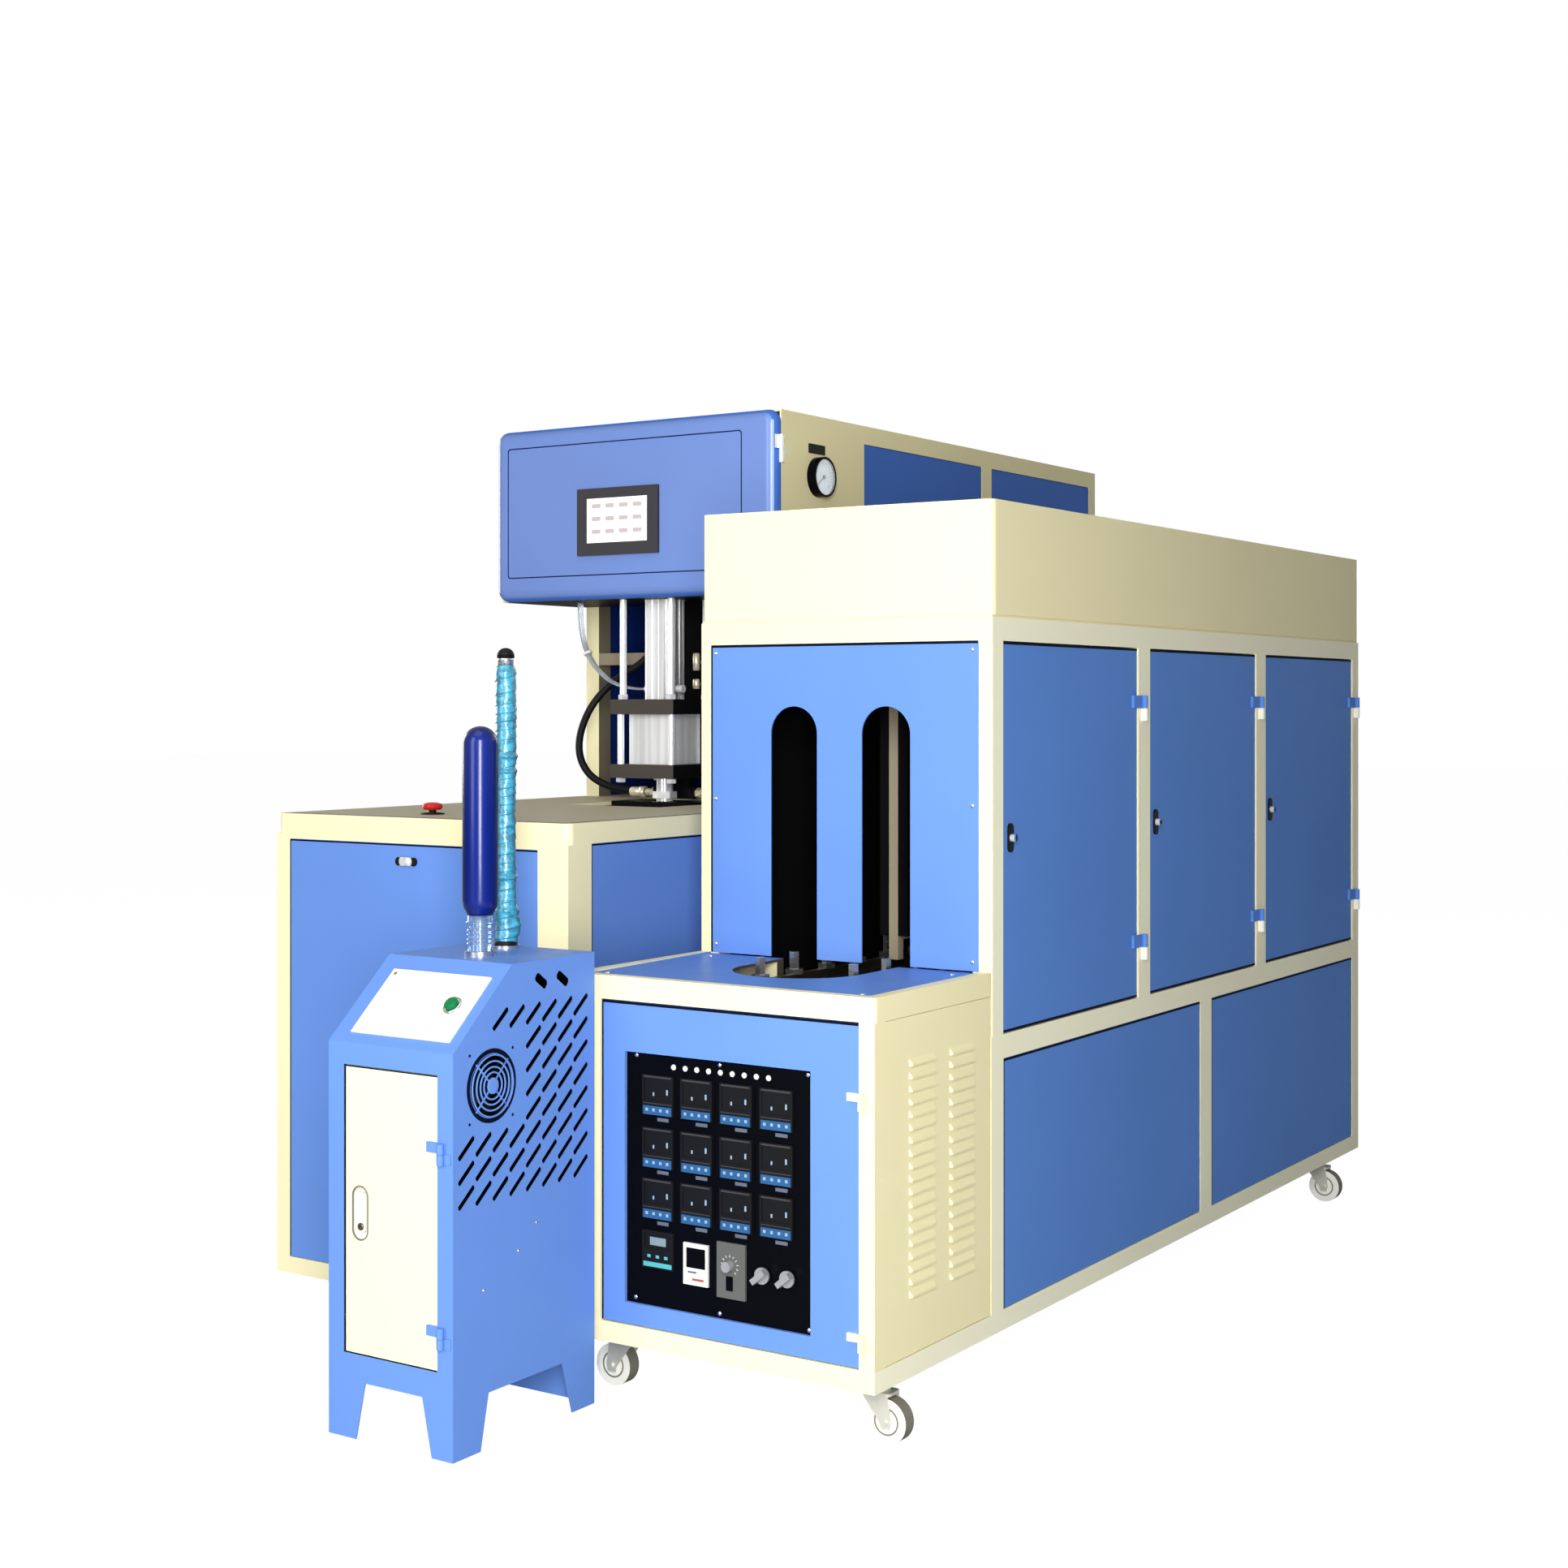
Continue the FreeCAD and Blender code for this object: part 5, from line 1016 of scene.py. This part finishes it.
@dataclass(frozen=True)
class HeadDressing(Dressing):
    """Finishes, screen, gauge and plate of the blow head.

    Attributes:
        gauge: middle of the gauge's front, millimetres off the oven's foot.
        door: the body that carries the screen.
    """

    coats: Coats = (
        (CREAM, "head_box"),
        # Painted light: the door is a paler copy of the blue, with painted shade where its rim
        # turns away.
        (LIT_HEAD_BLUE, "head_door"),
        (BEZEL, "touch_screen"),
        (GLOSS_BLACK, "pressure_gauge"),
    )
    areas: Areas = (
        # Painted shade: black under the head box.
        ("head_box", BLACK, (-1690, 1020, 1472.5), (-860, 1900, 1473.5)),
        # Painted shade on the door's rounded rim.
        ("head_door", SHADED_BLUE, (-1800, 1021.5, 1400), (-870.2, 1043.9, 1900)),
        # Painted highlight along the door's right edge.
        ("head_door", GLINT, (-881.5, 1020, 1500), (-877, 1024, 1860)),
        ("head_door", NICKEL, (-870, 985, 1500), (-850, 1060, 1860)),
        ("hinge_leaves", NICKEL, (-870.5, 985, 1500), (-850, 1060, 1860)),
        # Painted shade in the door's groove.
        ("head_door", GROOVE_SHADE, (-1650, 1016.3, 1523), (-950, 1019.8, 1847)),
    )
    gauge: tuple[float, float, float] = (-848.6, 1197, 1745)
    door: str = "head_door"

    def fit(self) -> None:
        """Adds the faces of screen and gauge and the gauge's plate."""
        plates("screen_face", DISPLAY, FRONT_FACE, [(-1307, 1009.4, 1656, 176, 104, 0.4)],
               self.door)
        plates("screen_blocks", MARK_PALE, FRONT_FACE, [
            (-1367 + 40 * column, 1008.7, 1690 - 30 * row, 26, 10, 0.3, 2)
            for row in range(3) for column in range(4)], self.door)
        self._gauge()
        plates("gauge_plate", MATT_BLACK, RIGHT_FACE, [(-870.6, 1192, 1809, 70, 22, 1.2, 2)])

    def _gauge(self) -> None:
        """Dial with ticks, a needle and its glass."""
        x, y, z = self.gauge
        turned("gauge_dial", DIAL, plan(x - 7.5, y, z), RIGHT, [(41, 0), (41, 0.6)], 40)
        marks = Forge("gauge_marks", MATT_BLACK)
        for k in range(21):
            a = math.radians(-135 + 13.5 * k)
            self._mark(marks, a, 35, 9 if k % 5 == 0 else 5, 6.9, 1.6, 0.3)
        self._mark(marks, -2.2, 30, 36, 6.0, 2.6, 0.5)
        marks.lathe(plan(x - 6.5, y, z), RIGHT, [(5, 0), (5, 2), (2, 3)], 20)
        marks.done()
        turned("gauge_glass", GLASS, plan(x - 2.5, y, z), RIGHT,
               [(40.8, 0), (40.8, 1.5)], 40).visible_shadow = False

    def _mark(self, forge: Forge, angle: float, reach: float, long: float, depth: float,
              wide: float, thick: float) -> None:
        """A bar on the dial.

        Args:
            forge: the piece that it belongs to.
            angle: radians clockwise from the top.
            reach: how far its outer end lies from the dial's middle.
            long: its length.
            depth: how far its back lies behind the gauge's front.
            wide: its width.
            thick: its thickness.
        """
        x, y, z = self.gauge
        r = reach - long / 2
        up = np.array([0, math.sin(angle), math.cos(angle)])
        forge.plate(plan(x - depth, y + r * up[1], z + r * up[2]), np.cross(up, RIGHT), up,
                    wide, long, thick)


@dataclass(frozen=True)
class PressDressing(Dressing):
    """Finishes of the press, collar of the stop button, latch, and a painted shadow line along the
    front and right edges of the table's top.

    Attributes:
        stop: middle of the stop button's foot on the table, millimetres off the oven's foot.
    """

    coats: Coats = (
        (CREAM, "press_frame press_table"),
        (BLUE, "press_panels"),
        (STEEL, "clamp_rods"),
        (GREY, "clamp_cylinders platen_front platen_rear"),
        (ALU, "mould_front mould_rear"),
        (RED, "estop_button"),
    )
    areas: Areas = (
        # Painted shade on the tower's crossbar.
        ("press_frame", SHADED_CREAM, (-1400, 1345, 1320), (-1140, 1400, 1360)),
        # Painted shade on the side of the tower's post.
        ("press_frame", SHADE, (-1631.5, 1360, 1200), (-1629.5, 1395, 1600)),
        ("press_table", TABLE, (-1650, 312, 991), (-892, 2660, 993)),
        ("press_panels", MATT_BLACK, (-1326, 288, 890), (-1266, 295, 914)),
        ("press_panels", NICKEL, (-1306, 278, 892), (-1286, 290.2, 912)),
        ("press_panels", CREAM, (-1680, 1340, 1881), (-860, 2700, 1886)),
        # Painted shade: the tower's right side and its inside are darker copies of the blue.
        ("press_panels", SHADED_BLUE, (-873, 1400, 1000), (-869, 2640, 1880)),
        ("press_panels", SHADED_TOWER_BLUE, (-1663, 1356, 995), (-873.5, 2664, 1880)),
        ("press_panels", CHROME, (-1300, 2673, 1080), (-1240, 2700, 1140)),
        ("mould_front", BLACK, (-1390, 1080, 943.9), (-1150, 1210, 1000)),
        ("mould_rear", BLACK, (-1390, 1080, 943.9), (-1150, 1210, 1000)),
        ("estop_button", MATT_BLACK, (-1380, 400, 960), (-1320, 460, 1001.9)),
    )
    stop: tuple[float, float, float] = (-1350, 430, 992)

    def fit(self) -> None:
        """Adds the press's small fittings."""
        collar = Forge("stop_collar", MATT_BLACK)
        collar.ring(plan(*self.stop), UP,
                    [(26, -0.5), (26, 1.5), (24, 3), (19.5, 3), (19.5, -0.5)], 40)
        collar.done()
        plates("latch_face", NICKEL, FRONT_FACE, [(-1296, 290, 902, 34, 16.5, 1.6, 6, 0.6)])
        # Painted shadow: dark lines along the front and right edges of the table's top.
        plates("table_shadow", PAINTED_SHADOW, TOP_FACE, [(-1271, 312, 992, 760, 4, 0.3),
                                                (-892, 690, 992, 5, 752, 0.3)])


@dataclass(frozen=True)
class BlowDressing(Dressing):
    """Finishes, nuts, fittings and hoses of the blow stack.

    Attributes:
        across: the stack's axis across the press, millimetres off the oven's foot.
        behind: the stack's axis from front to back.
        line: how far the air block's fittings lie behind the axis.
        floor: underside of the blow head, where hose and tubes come out.
    """

    coats: Coats = (
        (BARREL, "blow_cylinders"),
        (GUNMETAL_AND_SHADE, "head_plates"),
        (BLACK, "blow_manifold"),
        (NICKEL, "blow_nozzle"),
        (CHROME, "stretch_rod"),
    )
    areas: Areas = (
        # Painted shade on the upper cylinder's right side.
        ("blow_cylinders", SHADED_BARREL, (-1248, 1110, 1245), (-1232, 1190, 1480)),
        ("head_plates", BLACK, (-1335, 1239.5, 1051), (-1205, 1257, 1480)),
        ("head_plates", BLACK, (-1179, 1050, 1051), (-1177, 1245, 1240)),
        ("blow_manifold", BRASS, (-1366, 1180, 998), (-1330.2, 1216, 1030)),
        ("blow_manifold", BRASS, (-1209.8, 1180, 998), (-1170, 1216, 1030)),
    )
    across: float = -1270
    behind: float = 1148
    line: float = 49
    floor: float = 1473

    def fit(self) -> None:
        """Adds nuts, fittings and the hoses."""
        self._nuts()
        self._fittings()
        self._hose()
        self._tubes()

    def _nuts(self) -> None:
        """Hexagon nuts on the tie rods, above the upper plate and under the lower one."""
        nuts = Forge("tie_rod_nuts", NICKEL)
        for reach, z, axis, tall in ((70, 1237, UP, 12), (74, 1052, DOWN, 11)):
            for x in (-reach, reach):
                for y in (-reach, reach):
                    nuts.lathe(plan(self.across + x, self.behind + y, z), axis,
                               [(12.5, 0), (12.5, tall - 2), (10.5, tall)], 6)
        nuts.done()

    def _fittings(self) -> None:
        """Ferrule and plug of the air block, two elbows on the spine, the tubes' tie."""
        x, y, z = self.across, self.behind + self.line, 1014
        pale = Forge("air_fittings", BRASS)
        pale.lathe(plan(x - 136, y, z), RIGHT, [(10.5, 0), (12, 2), (12, 26), (10.5, 28)], 32)
        pale.lathe(plan(x - 106, y, z), RIGHT, [(15, 0), (15, 13)], 6)
        pale.lathe(plan(x + 90, y, z), RIGHT, [(13.5, 0), (13.5, 12)], 6)
        ball = [(1.5 + 12.5 * math.sin(k), 25.5 - 13.5 * math.cos(k))
                for k in np.linspace(0.5, math.pi - 0.1, 10)]
        pale.lathe(plan(x + 90, y, z), RIGHT, ball, 28)
        for low, tall in ((1262, 24), (1306, 42)):
            pale.lathe(plan(x + 37, y + 28, low), UP,
                       [(6.5, 0), (8.5, 2), (8.5, tall - 2), (6.5, tall)], 24)
            pale.lathe(plan(x + 37, y + 28, low + tall / 2), BACK, [(5, 0), (5, 15.5)], 16)
        pale.done(smooth=True)
        turned("tube_tie", IVORY, plan(x - 232.5, self.behind, 1350), (45, 0, -80),
               [(10.8, -3), (11.2, -2.5), (11.2, 2.5), (10.8, 3)], 28, True)

    @staticmethod
    def _curve(name: str, route: Sequence[Vector], radius: float,
              finish: Finish) -> bpy.types.Object:
        """A hose whose line is one smooth spline with its route as control points.

        Args:
            name: the piece's name.
            route: control points, millimetres off the oven's foot.
            radius: half the hose's outside diameter, in metres.
            finish: what it is made of.

        Returns:
            The curve.
        """
        curve = bpy.data.curves.new(name, "CURVE")
        curve.dimensions = "3D"
        curve.bevel_depth = radius
        curve.bevel_resolution = STEPS_ROUND
        curve.resolution_u = STEPS_ALONG
        curve.use_fill_caps = True
        spline = curve.splines.new("NURBS")
        spline.points.add(len(route) - 1)
        for control, point in zip(spline.points, route):
            control.co = (*plan(*point), 1.0)
        spline.order_u = 3
        spline.use_endpoint_u = True
        curve.materials.append(finish.build())
        obj = into_scene(name, curve)
        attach(obj, MACHINE)
        return obj

    def _hose(self) -> None:
        """The black air hose, from the head's floor round to the manifold."""
        x, y, top = self.across, self.behind + self.line, self.floor
        route = [(x - 110, y + 103, top), (x - 110, y + 103, 1360), (x - 275, y + 38, 1260),
                 (x - 302, y - 22, 1110), (x - 230, y, 1014), (x - 90, y, 1014)]
        hose = self._curve("pressure_hose", route, 0.009, RUBBER)
        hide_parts("air_hose")

    def _tubes(self) -> None:
        """Three clear tubes from the head's floor to the upper cylinder."""
        x, top = self.across, self.floor
        for k in range(3):
            y = self.behind + (k - 1) * 6.5
            route = [(x - 255, y, top), (x - 255, y, 1390), (x - 210, y, 1310),
                     (x - 130, y, 1262), (x - 55, y, 1262)]
            tube = self._curve(f"pilot_tube_{k + 1}", route, 0.003, TUBE)
            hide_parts("air_tubes")


@dataclass(frozen=True)
class StandDressing(Dressing):
    """Finishes and fittings of the heating stand, with preform and wrapped rod.

    Attributes:
        preform: foot of the preform's neck, millimetres off the oven's foot.
        sleeve: foot of the film on the tall rod.
        slope: unit vector up the console's slope.
        square: unit vector out of the slope.
        fan: middle of the fan's guard, on the stand's right side.
        door: the body that carries the handle.
        flap: angle round the rod, in radians, where the film is torn.
        film_top: where the film ends, metres over its foot.
        lap: rise of the film from one turn to the next, in metres.
        rod: radius of the rod in the film, in metres.
    """

    coats: Coats = (
        (BLUE, "stand_shell"),
        (WHITE, "console_plate"),
        (DOOR_WHITE, "stand_door"),
        (GREEN, "start_button"),
        (MATT_BLACK, "fan_rotor"),
        (STEEL, "rod_sockets"),
    )
    areas: Areas = (
        # Painted shade: black inside the stand.
        ("stand_shell", HOLLOW_SHADE, (-843.5, -229, 103), (-568.5, -10.5, 789.5)),
        ("stand_shell", HOLLOW_SHADE, (-843.5, -373.5, 103), (-568.5, -229, 658)),
        ("stand_door", BLUE, (-626, -390, 170), (-580, -340, 226)),
        ("stand_door", BLUE, (-626, -390, 468), (-580, -340, 524)),
        ("hinge_leaves", BLUE, (-626, -390, 150), (-560, -340, 540)),
        ("stand_door", IVORY, (-794, -371.4, 330), (-756, -350, 424)),
    )
    preform: tuple[float, float, float] = (-691, -168, 800)
    sleeve: tuple[float, float, float] = (-735, -50, 797)
    slope: tuple[float, float, float] = (0, 0.7443, 0.6678)
    square: tuple[float, float, float] = (0, -0.6678, 0.7443)
    fan: tuple[float, float, float] = (-567, -281, 596)
    door: str = "stand_door"
    flap: float = 0.58
    film_top: float = 0.497
    lap: float = 0.019
    rod: float = 0.0142

    def fit(self) -> None:
        """Adds the stand's fittings, the preform and the wrapped rod."""
        self._guard()
        self._handle()
        self._console()
        self._preform()
        self._film()
        self._rod()

    def _guard(self) -> None:
        """Wire guard of the fan over its housing, which is black as painted shade, and a ring of
        painted shade for the gap round it.
        """
        centre = plan(*self.fan)
        deep = centre - np.array([0.040, 0, 0])
        wires = Forge("guard_wires", BLUE)
        wire = [(1.6 * math.cos(k), 3 + 1.4 * math.sin(k))
                for k in np.linspace(0, 2 * math.pi, 10, endpoint=False)]
        for radius in (50.8, 40.5, 31, 22.2):
            wires.ring(centre, RIGHT, [(radius + out, lift) for out, lift in wire], 72)
        turn = math.sqrt(0.5)
        for side in (-1, 1):
            wires.plate(centre, (0, turn, side * turn), (0, -side * turn, turn),
                        112, 2.6, 2.2, 1.2)
        wires.lathe(centre, RIGHT, [(13.5, 1.8), (13.5, 4.2), (11.5, 4.5)], 36)
        # Painted shade: the housing behind the guard is black.
        housing = Forge("fan_housing", HOLLOW_SHADE)
        housing.ring(centre, RIGHT, [(60, -40), (60, -2), (55.5, -2), (55.5, -40)], 64)
        for y, z, wide, high in ((-58.5, 0, 3, 120), (58.5, 0, 3, 120), (0, -58.5, 114, 3),
                                 (0, 58.5, 114, 3)):
            housing.plate(centre + np.array([-40, y, z]) / 1000, *RIGHT_FACE, wide, high, 38)
        housing.plate(deep, *RIGHT_FACE, 116, 8, 4)
        housing.lathe(deep, RIGHT, [(20, 0), (20, 4)], 36)
        for forge in (wires, housing):
            stand_in(forge.done(smooth=True), "fan_guard")
        # Painted shade: a dark ring for the gap round the guard.
        gap = Forge("guard_gap_shade", PAINTED_SHADOW)
        gap.ring(centre, RIGHT, [(61.2, -0.2), (61.2, 0.4), (53.5, 0.4), (53.5, -0.2)], 72)
        gap.done()

    def _handle(self) -> None:
        """Rim of the sunk handle, its keyhole and its pin."""
        x, z, y = -775, 377, -372.0
        a = np.linspace(0, 2 * math.pi, 48, endpoint=False)
        rise = np.where(np.sin(a) >= 0, 27.5, -27.5)
        section = ((18.6, 0), (18.6, 0.9), (17.6, 1.4), (16.4, 0.9), (16.2, -1.5))
        rings = [np.stack([x + r * np.cos(a), np.full_like(a, y - lift),
                           z + rise + r * np.sin(a)], axis=1) for r, lift in section]
        rim = Forge("handle_rim", HANDLE, self.door)
        rim.add((np.stack(rings) + ORIGIN_MM) / 1000.0, grid_faces(len(rings), len(a))[:, ::-1])
        rim.done(smooth=True)
        key = Forge("handle_key", CHAIN, self.door)
        key.lathe(plan(x - 1, -369.2, z - 23), FRONT,
                  [(6.2, 0), (6.2, 2.2), (5.4, 3), (1.5, 3), (1.2, 1)], 24)
        key.plate(plan(x - 1, -367.4, z + 32), *FRONT_FACE, 8, 3.5, 1)
        key.done()

    def _on_slope(self, x: float, along: float, lift: float) -> np.ndarray:
        """A point over the console's slope.

        Args:
            x: place across, millimetres off the oven's foot.
            along: millimetres up the slope from its foot.
            lift: millimetres out of it.

        Returns:
            A point of the frame.
        """
        foot = np.array([x, -375.0, 660.0])
        return (foot + along * np.array(self.slope) + lift * np.array(self.square)
                + ORIGIN_MM) / 1000.0

    def _console(self) -> None:
        """Collar and domed lens of the button, and the screws of plate and right side."""
        turned("button_collar", CHROME, self._on_slope(-630, 95, 3), self.square,
               [(18.5, 0), (18.5, 1), (16.5, 3.8), (14.2, 3.8), (13.8, 1)], 40, True)
        turned("button_lens", GREEN, self._on_slope(-630, 95, 10.9), self.square,
               quarter(12.2, 3.2, 8), 40, True, "start_button")
        screws("console_screws", CHAIN, [self._on_slope(-798, 152, 3)], self.square, 3.2)
        screws("console_pins", IVORY,
               [self._on_slope(*spot, 3) for spot in ((-602, 152), (-799, 31), (-599, 31))],
               self.square, 2.6)
        side = self.fan[0]
        screws("stand_screws", CHROME,
               [plan(side, *spot) for spot in ((-166, 348), (-213, 310), (-300, 262))],
               RIGHT, 3.4)
        screws("stand_bolts", BLACK,
               [plan(side, *spot) for spot in ((-335, 540), (-228, 540), (-228, 652),
                                               (-335, 652))], RIGHT, 2.6)

    def _preform(self) -> None:
        """Smooth preform: a round-ended dark body, and a clear neck with its rings."""
        r, top = 30.75, 387
        body = [(22.6, 62), (23.6, 66), (28.6, 74.5), (30.2, 80), (r, 88),
                *quarter(r, r, 15, top - r)]
        neck = [(20.5, 0), (22.2, 1.5)]
        for k in range(4):
            low = 10 + 7.5 * k
            neck += [(22.2, low), (23.4, low + 1.5), (23.4, low + 3), (22.2, low + 4.5)]
        neck += [(22.2, 46), (25.2, 47.5), (25.2, 50.5), (22.2, 52), (22.2, 63.5)]
        for name, finish, profile, sides in (("preform_shell", PREFORM, body, 72),
                                             ("preform_neck", NECK, neck, 64)):
            stand_in(turned(name, finish, plan(*self.preform), UP, profile, sides, True),
                     "preform")

    def _film(self) -> None:
        """Film wound round the tall rod.

        The film's radius is a sawtooth of height minus angle, so every turn laps over
        the one under it; slow and fast waves pull it out of round, and bands where it
        was tied stand out; low down a torn flap bulges to one side.
        """
        foot = plan(*self.sleeve)
        rows, columns = 620, 96
        h = np.linspace(0.004, self.film_top, rows)[:, None]
        a = np.linspace(0, 2 * math.pi, columns, endpoint=False)[None, :]
        turn = h / self.lap - a / (2 * math.pi) + 0.35 * np.sin(h * 47)
        lap = 1.0 - np.mod(turn, 1.0)
        wave = np.sin(3 * a + 90 * h) + 0.7 * np.sin(5 * a - 160 * h + 1.3)
        crease = np.sin(9 * a + 420 * h) * np.sin(210 * h + 2 * a)
        bands = sum(np.exp(-((h - at) / wide) ** 2) for at, wide in (
            (0.335, 0.004), (0.309, 0.004), (0.121, 0.005), (0.062, 0.006)))
        taper = np.clip((self.film_top - h) / 0.012, 0, 1) ** 0.5
        torn = (0.009 * np.exp(-((h - 0.034) / 0.022) ** 2)
                * np.clip(np.cos(a - self.flap), 0, 1) ** 6)
        r = self.rod + (0.0032 + 0.0015 * lap + 0.00028 * wave + 0.00016 * crease
                        + 0.0027 * bands + torn) * taper
        sway = 0.0009 * np.sin(h * 19 + 0.4)
        film = Forge("rod_film", FILM)
        film.add(np.stack([foot[0] + sway + r * np.cos(a), foot[1] + r * np.sin(a),
                           foot[2] + h + 0 * a], axis=-1), grid_faces(rows, columns))
        stand_in(film.done(smooth=True), "wrapped_rod")

    def _rod(self) -> None:
        """The rod's collar and rubber cap over the film, and its foot."""
        for name, finish, profile in (
                ("rod_collar", STEEL, [(13.8, 490), (13.8, 505), (14.2, 506), (14.2, 510),
                                       (12.5, 511)]),
                ("rod_cap", MATT_BLACK, [(14.8, 509.5), (15.5, 510.5), (15.5, 514),
                                         *quarter(15.5, 14, 9, 514)]),
                ("rod_foot", MATT_BLACK, [(20.5, 0), (21.2, 1), (20.8, 5), (19, 7.5),
                                          (15, 8.5)])):
            stand_in(turned(name, finish, plan(*self.sleeve), UP, profile, 40, True),
                     "wrapped_rod")


# ---- studio

@dataclass(frozen=True)
class Studio:
    """Camera, lamps, floor and background.

    Attributes:
        eye: where the camera stands.
        heading: degrees that it is turned to the left of straight ahead.
        lens: focal length on a 36 mm wide sensor.
        shift: how far the picture is moved up, in picture widths.
        mirror: share of the white background that mirrors show.
        ambient: strength of the background as a light.
        side: half the floor's width, in metres.
    """

    eye: tuple[float, float, float] = (1807.2, -3009.7, 1222.2)
    heading: float = 33.37
    lens: float = 49.94
    shift: float = -0.04998
    mirror: float = 0.6
    ambient: float = 0.07
    side: float = 40.0

    def build(self) -> None:
        """Sets up the whole studio."""
        self._camera()
        self._world()
        self._lamps()
        self._floor()
        bpy.context.scene.view_settings.view_transform = "Standard"

    def _camera(self) -> None:
        """A level camera at the photograph's standpoint."""
        data = bpy.data.cameras.new("camera")
        data.lens, data.shift_y, data.clip_end = self.lens, self.shift, 100
        data.sensor_width, data.sensor_fit = CAMERA_SENSOR, "HORIZONTAL"
        camera = into_scene("camera", data)
        camera.location = plan(*self.eye)
        camera.rotation_euler = (math.pi / 2, 0, math.radians(self.heading))
        bpy.context.scene.camera = camera

    def _world(self) -> None:
        """White for the camera and through clear things, softer in mirrors and as a light."""
        world = bpy.data.worlds.new("studio")
        bpy.context.scene.world = world
        tree = Tree(world)
        path = tree.add("LightPath", {}).node.outputs
        mirrored = tree.maths("MULTIPLY", path["Is Glossy Ray"], self.mirror)
        seen = tree.maths("MAXIMUM", path["Is Camera Ray"], mirrored)
        seen = tree.maths("MAXIMUM", seen, path["Is Transmission Ray"])
        soft = tree.nodes["Background"]
        tree.fill(soft, {"Color": (0.97, 0.98, 1.0, 1), "Strength": self.ambient})
        white = tree.add("Background", {"Color": (1, 1, 1, 1), "Strength": 1.0})
        mix = tree.add("MixShader", {0: seen, 1: soft.outputs[0], 2: white})
        tree.fill(tree.nodes["World Output"], {"Surface": mix})

    @staticmethod
    def _lamp(name: str, spot: Vector, target: Vector,
              size: tuple[float, float], power: float) -> None:
        """One soft box, turned to face a point.

        Args:
            name: the lamp's name.
            spot: where it hangs, in metres.
            target: the point that it faces, in metres.
            size: its width and height, in metres.
            power: its power, in watts.
        """
        data = bpy.data.lights.new(name, "AREA")
        data.shape, data.energy = "RECTANGLE", power
        data.size, data.size_y = size
        lamp = into_scene(name, data)
        lamp.location = spot
        axes = basis(np.array(spot, float) - np.array(target, float))
        lamp.rotation_euler = Matrix(np.column_stack(axes).tolist()).to_euler()

    def _lamps(self) -> None:
        """Tall soft boxes by the camera and before the fronts; fill above, behind, left."""
        self._lamp("by_camera", (2.75, -4.35, 1.6), (0.2, -0.6, 0.9), (0.8, 2.4), 215)
        self._lamp("front", (-0.8, -7.2, 2.9), (0, -0.3, 1.1), (2.2, 4.8), 180)
        self._lamp("above", (0.4, -2.6, 5.2), (0, -0.3, 0.8), (3.0, 3.0), 45)
        self._lamp("behind", (-1.0, 7.2, 3.0), (0, 0.8, 0.9), (3.0, 3.0), 240)
        self._lamp("left", (-6.2, 0.4, 2.3), (-0.6, 0.2, 0.9), (2.2, 2.8), 150)

    def _floor(self) -> None:
        """A floor that the camera sees as white and that throws soft light back up."""
        corners = [(x * self.side, y * self.side, 0)
                   for x, y in ((-1, -1), (1, -1), (1, 1), (-1, 1))]
        mesh = bpy.data.meshes.new("floor")
        mesh.from_pydata(corners, [], [[0, 1, 2, 3]])
        floor = into_scene("floor", mesh)
        mat = bpy.data.materials.new("studio_floor")
        tree = Tree(mat)
        tree.nodes.remove(tree.nodes["Principled BSDF"])
        bounce = tree.add("BsdfDiffuse", {"Color": (0.5, 0.5, 0.5, 1)})
        seen = tree.add("BsdfDiffuse", {"Color": (0.07, 0.07, 0.07, 1)})
        glow = tree.add("Emission", {"Strength": 0.985})
        white = tree.add("AddShader", {0: seen, 1: glow})
        camera_ray = tree.add("LightPath", {}, "Is Camera Ray")
        mix = tree.add("MixShader", {0: camera_ray, 1: bounce, 2: white})
        tree.fill(tree.nodes["Material Output"], {"Surface": mix})
        mesh.materials.append(mat)


def main() -> None:
    """Builds each sub-assembly in order and reports it."""
    logging.basicConfig(level=logging.INFO, format="%(name)s: %(message)s")
    for part in (OvenDressing(), SheetShadows(), InstrumentDressing(), PressDressing(),
                 HeadDressing(), BlowDressing(), StandDressing(), Studio()):
        part.build()
        LOG.info("%s done", type(part).__name__)


if __name__ == "__main__":
    main()
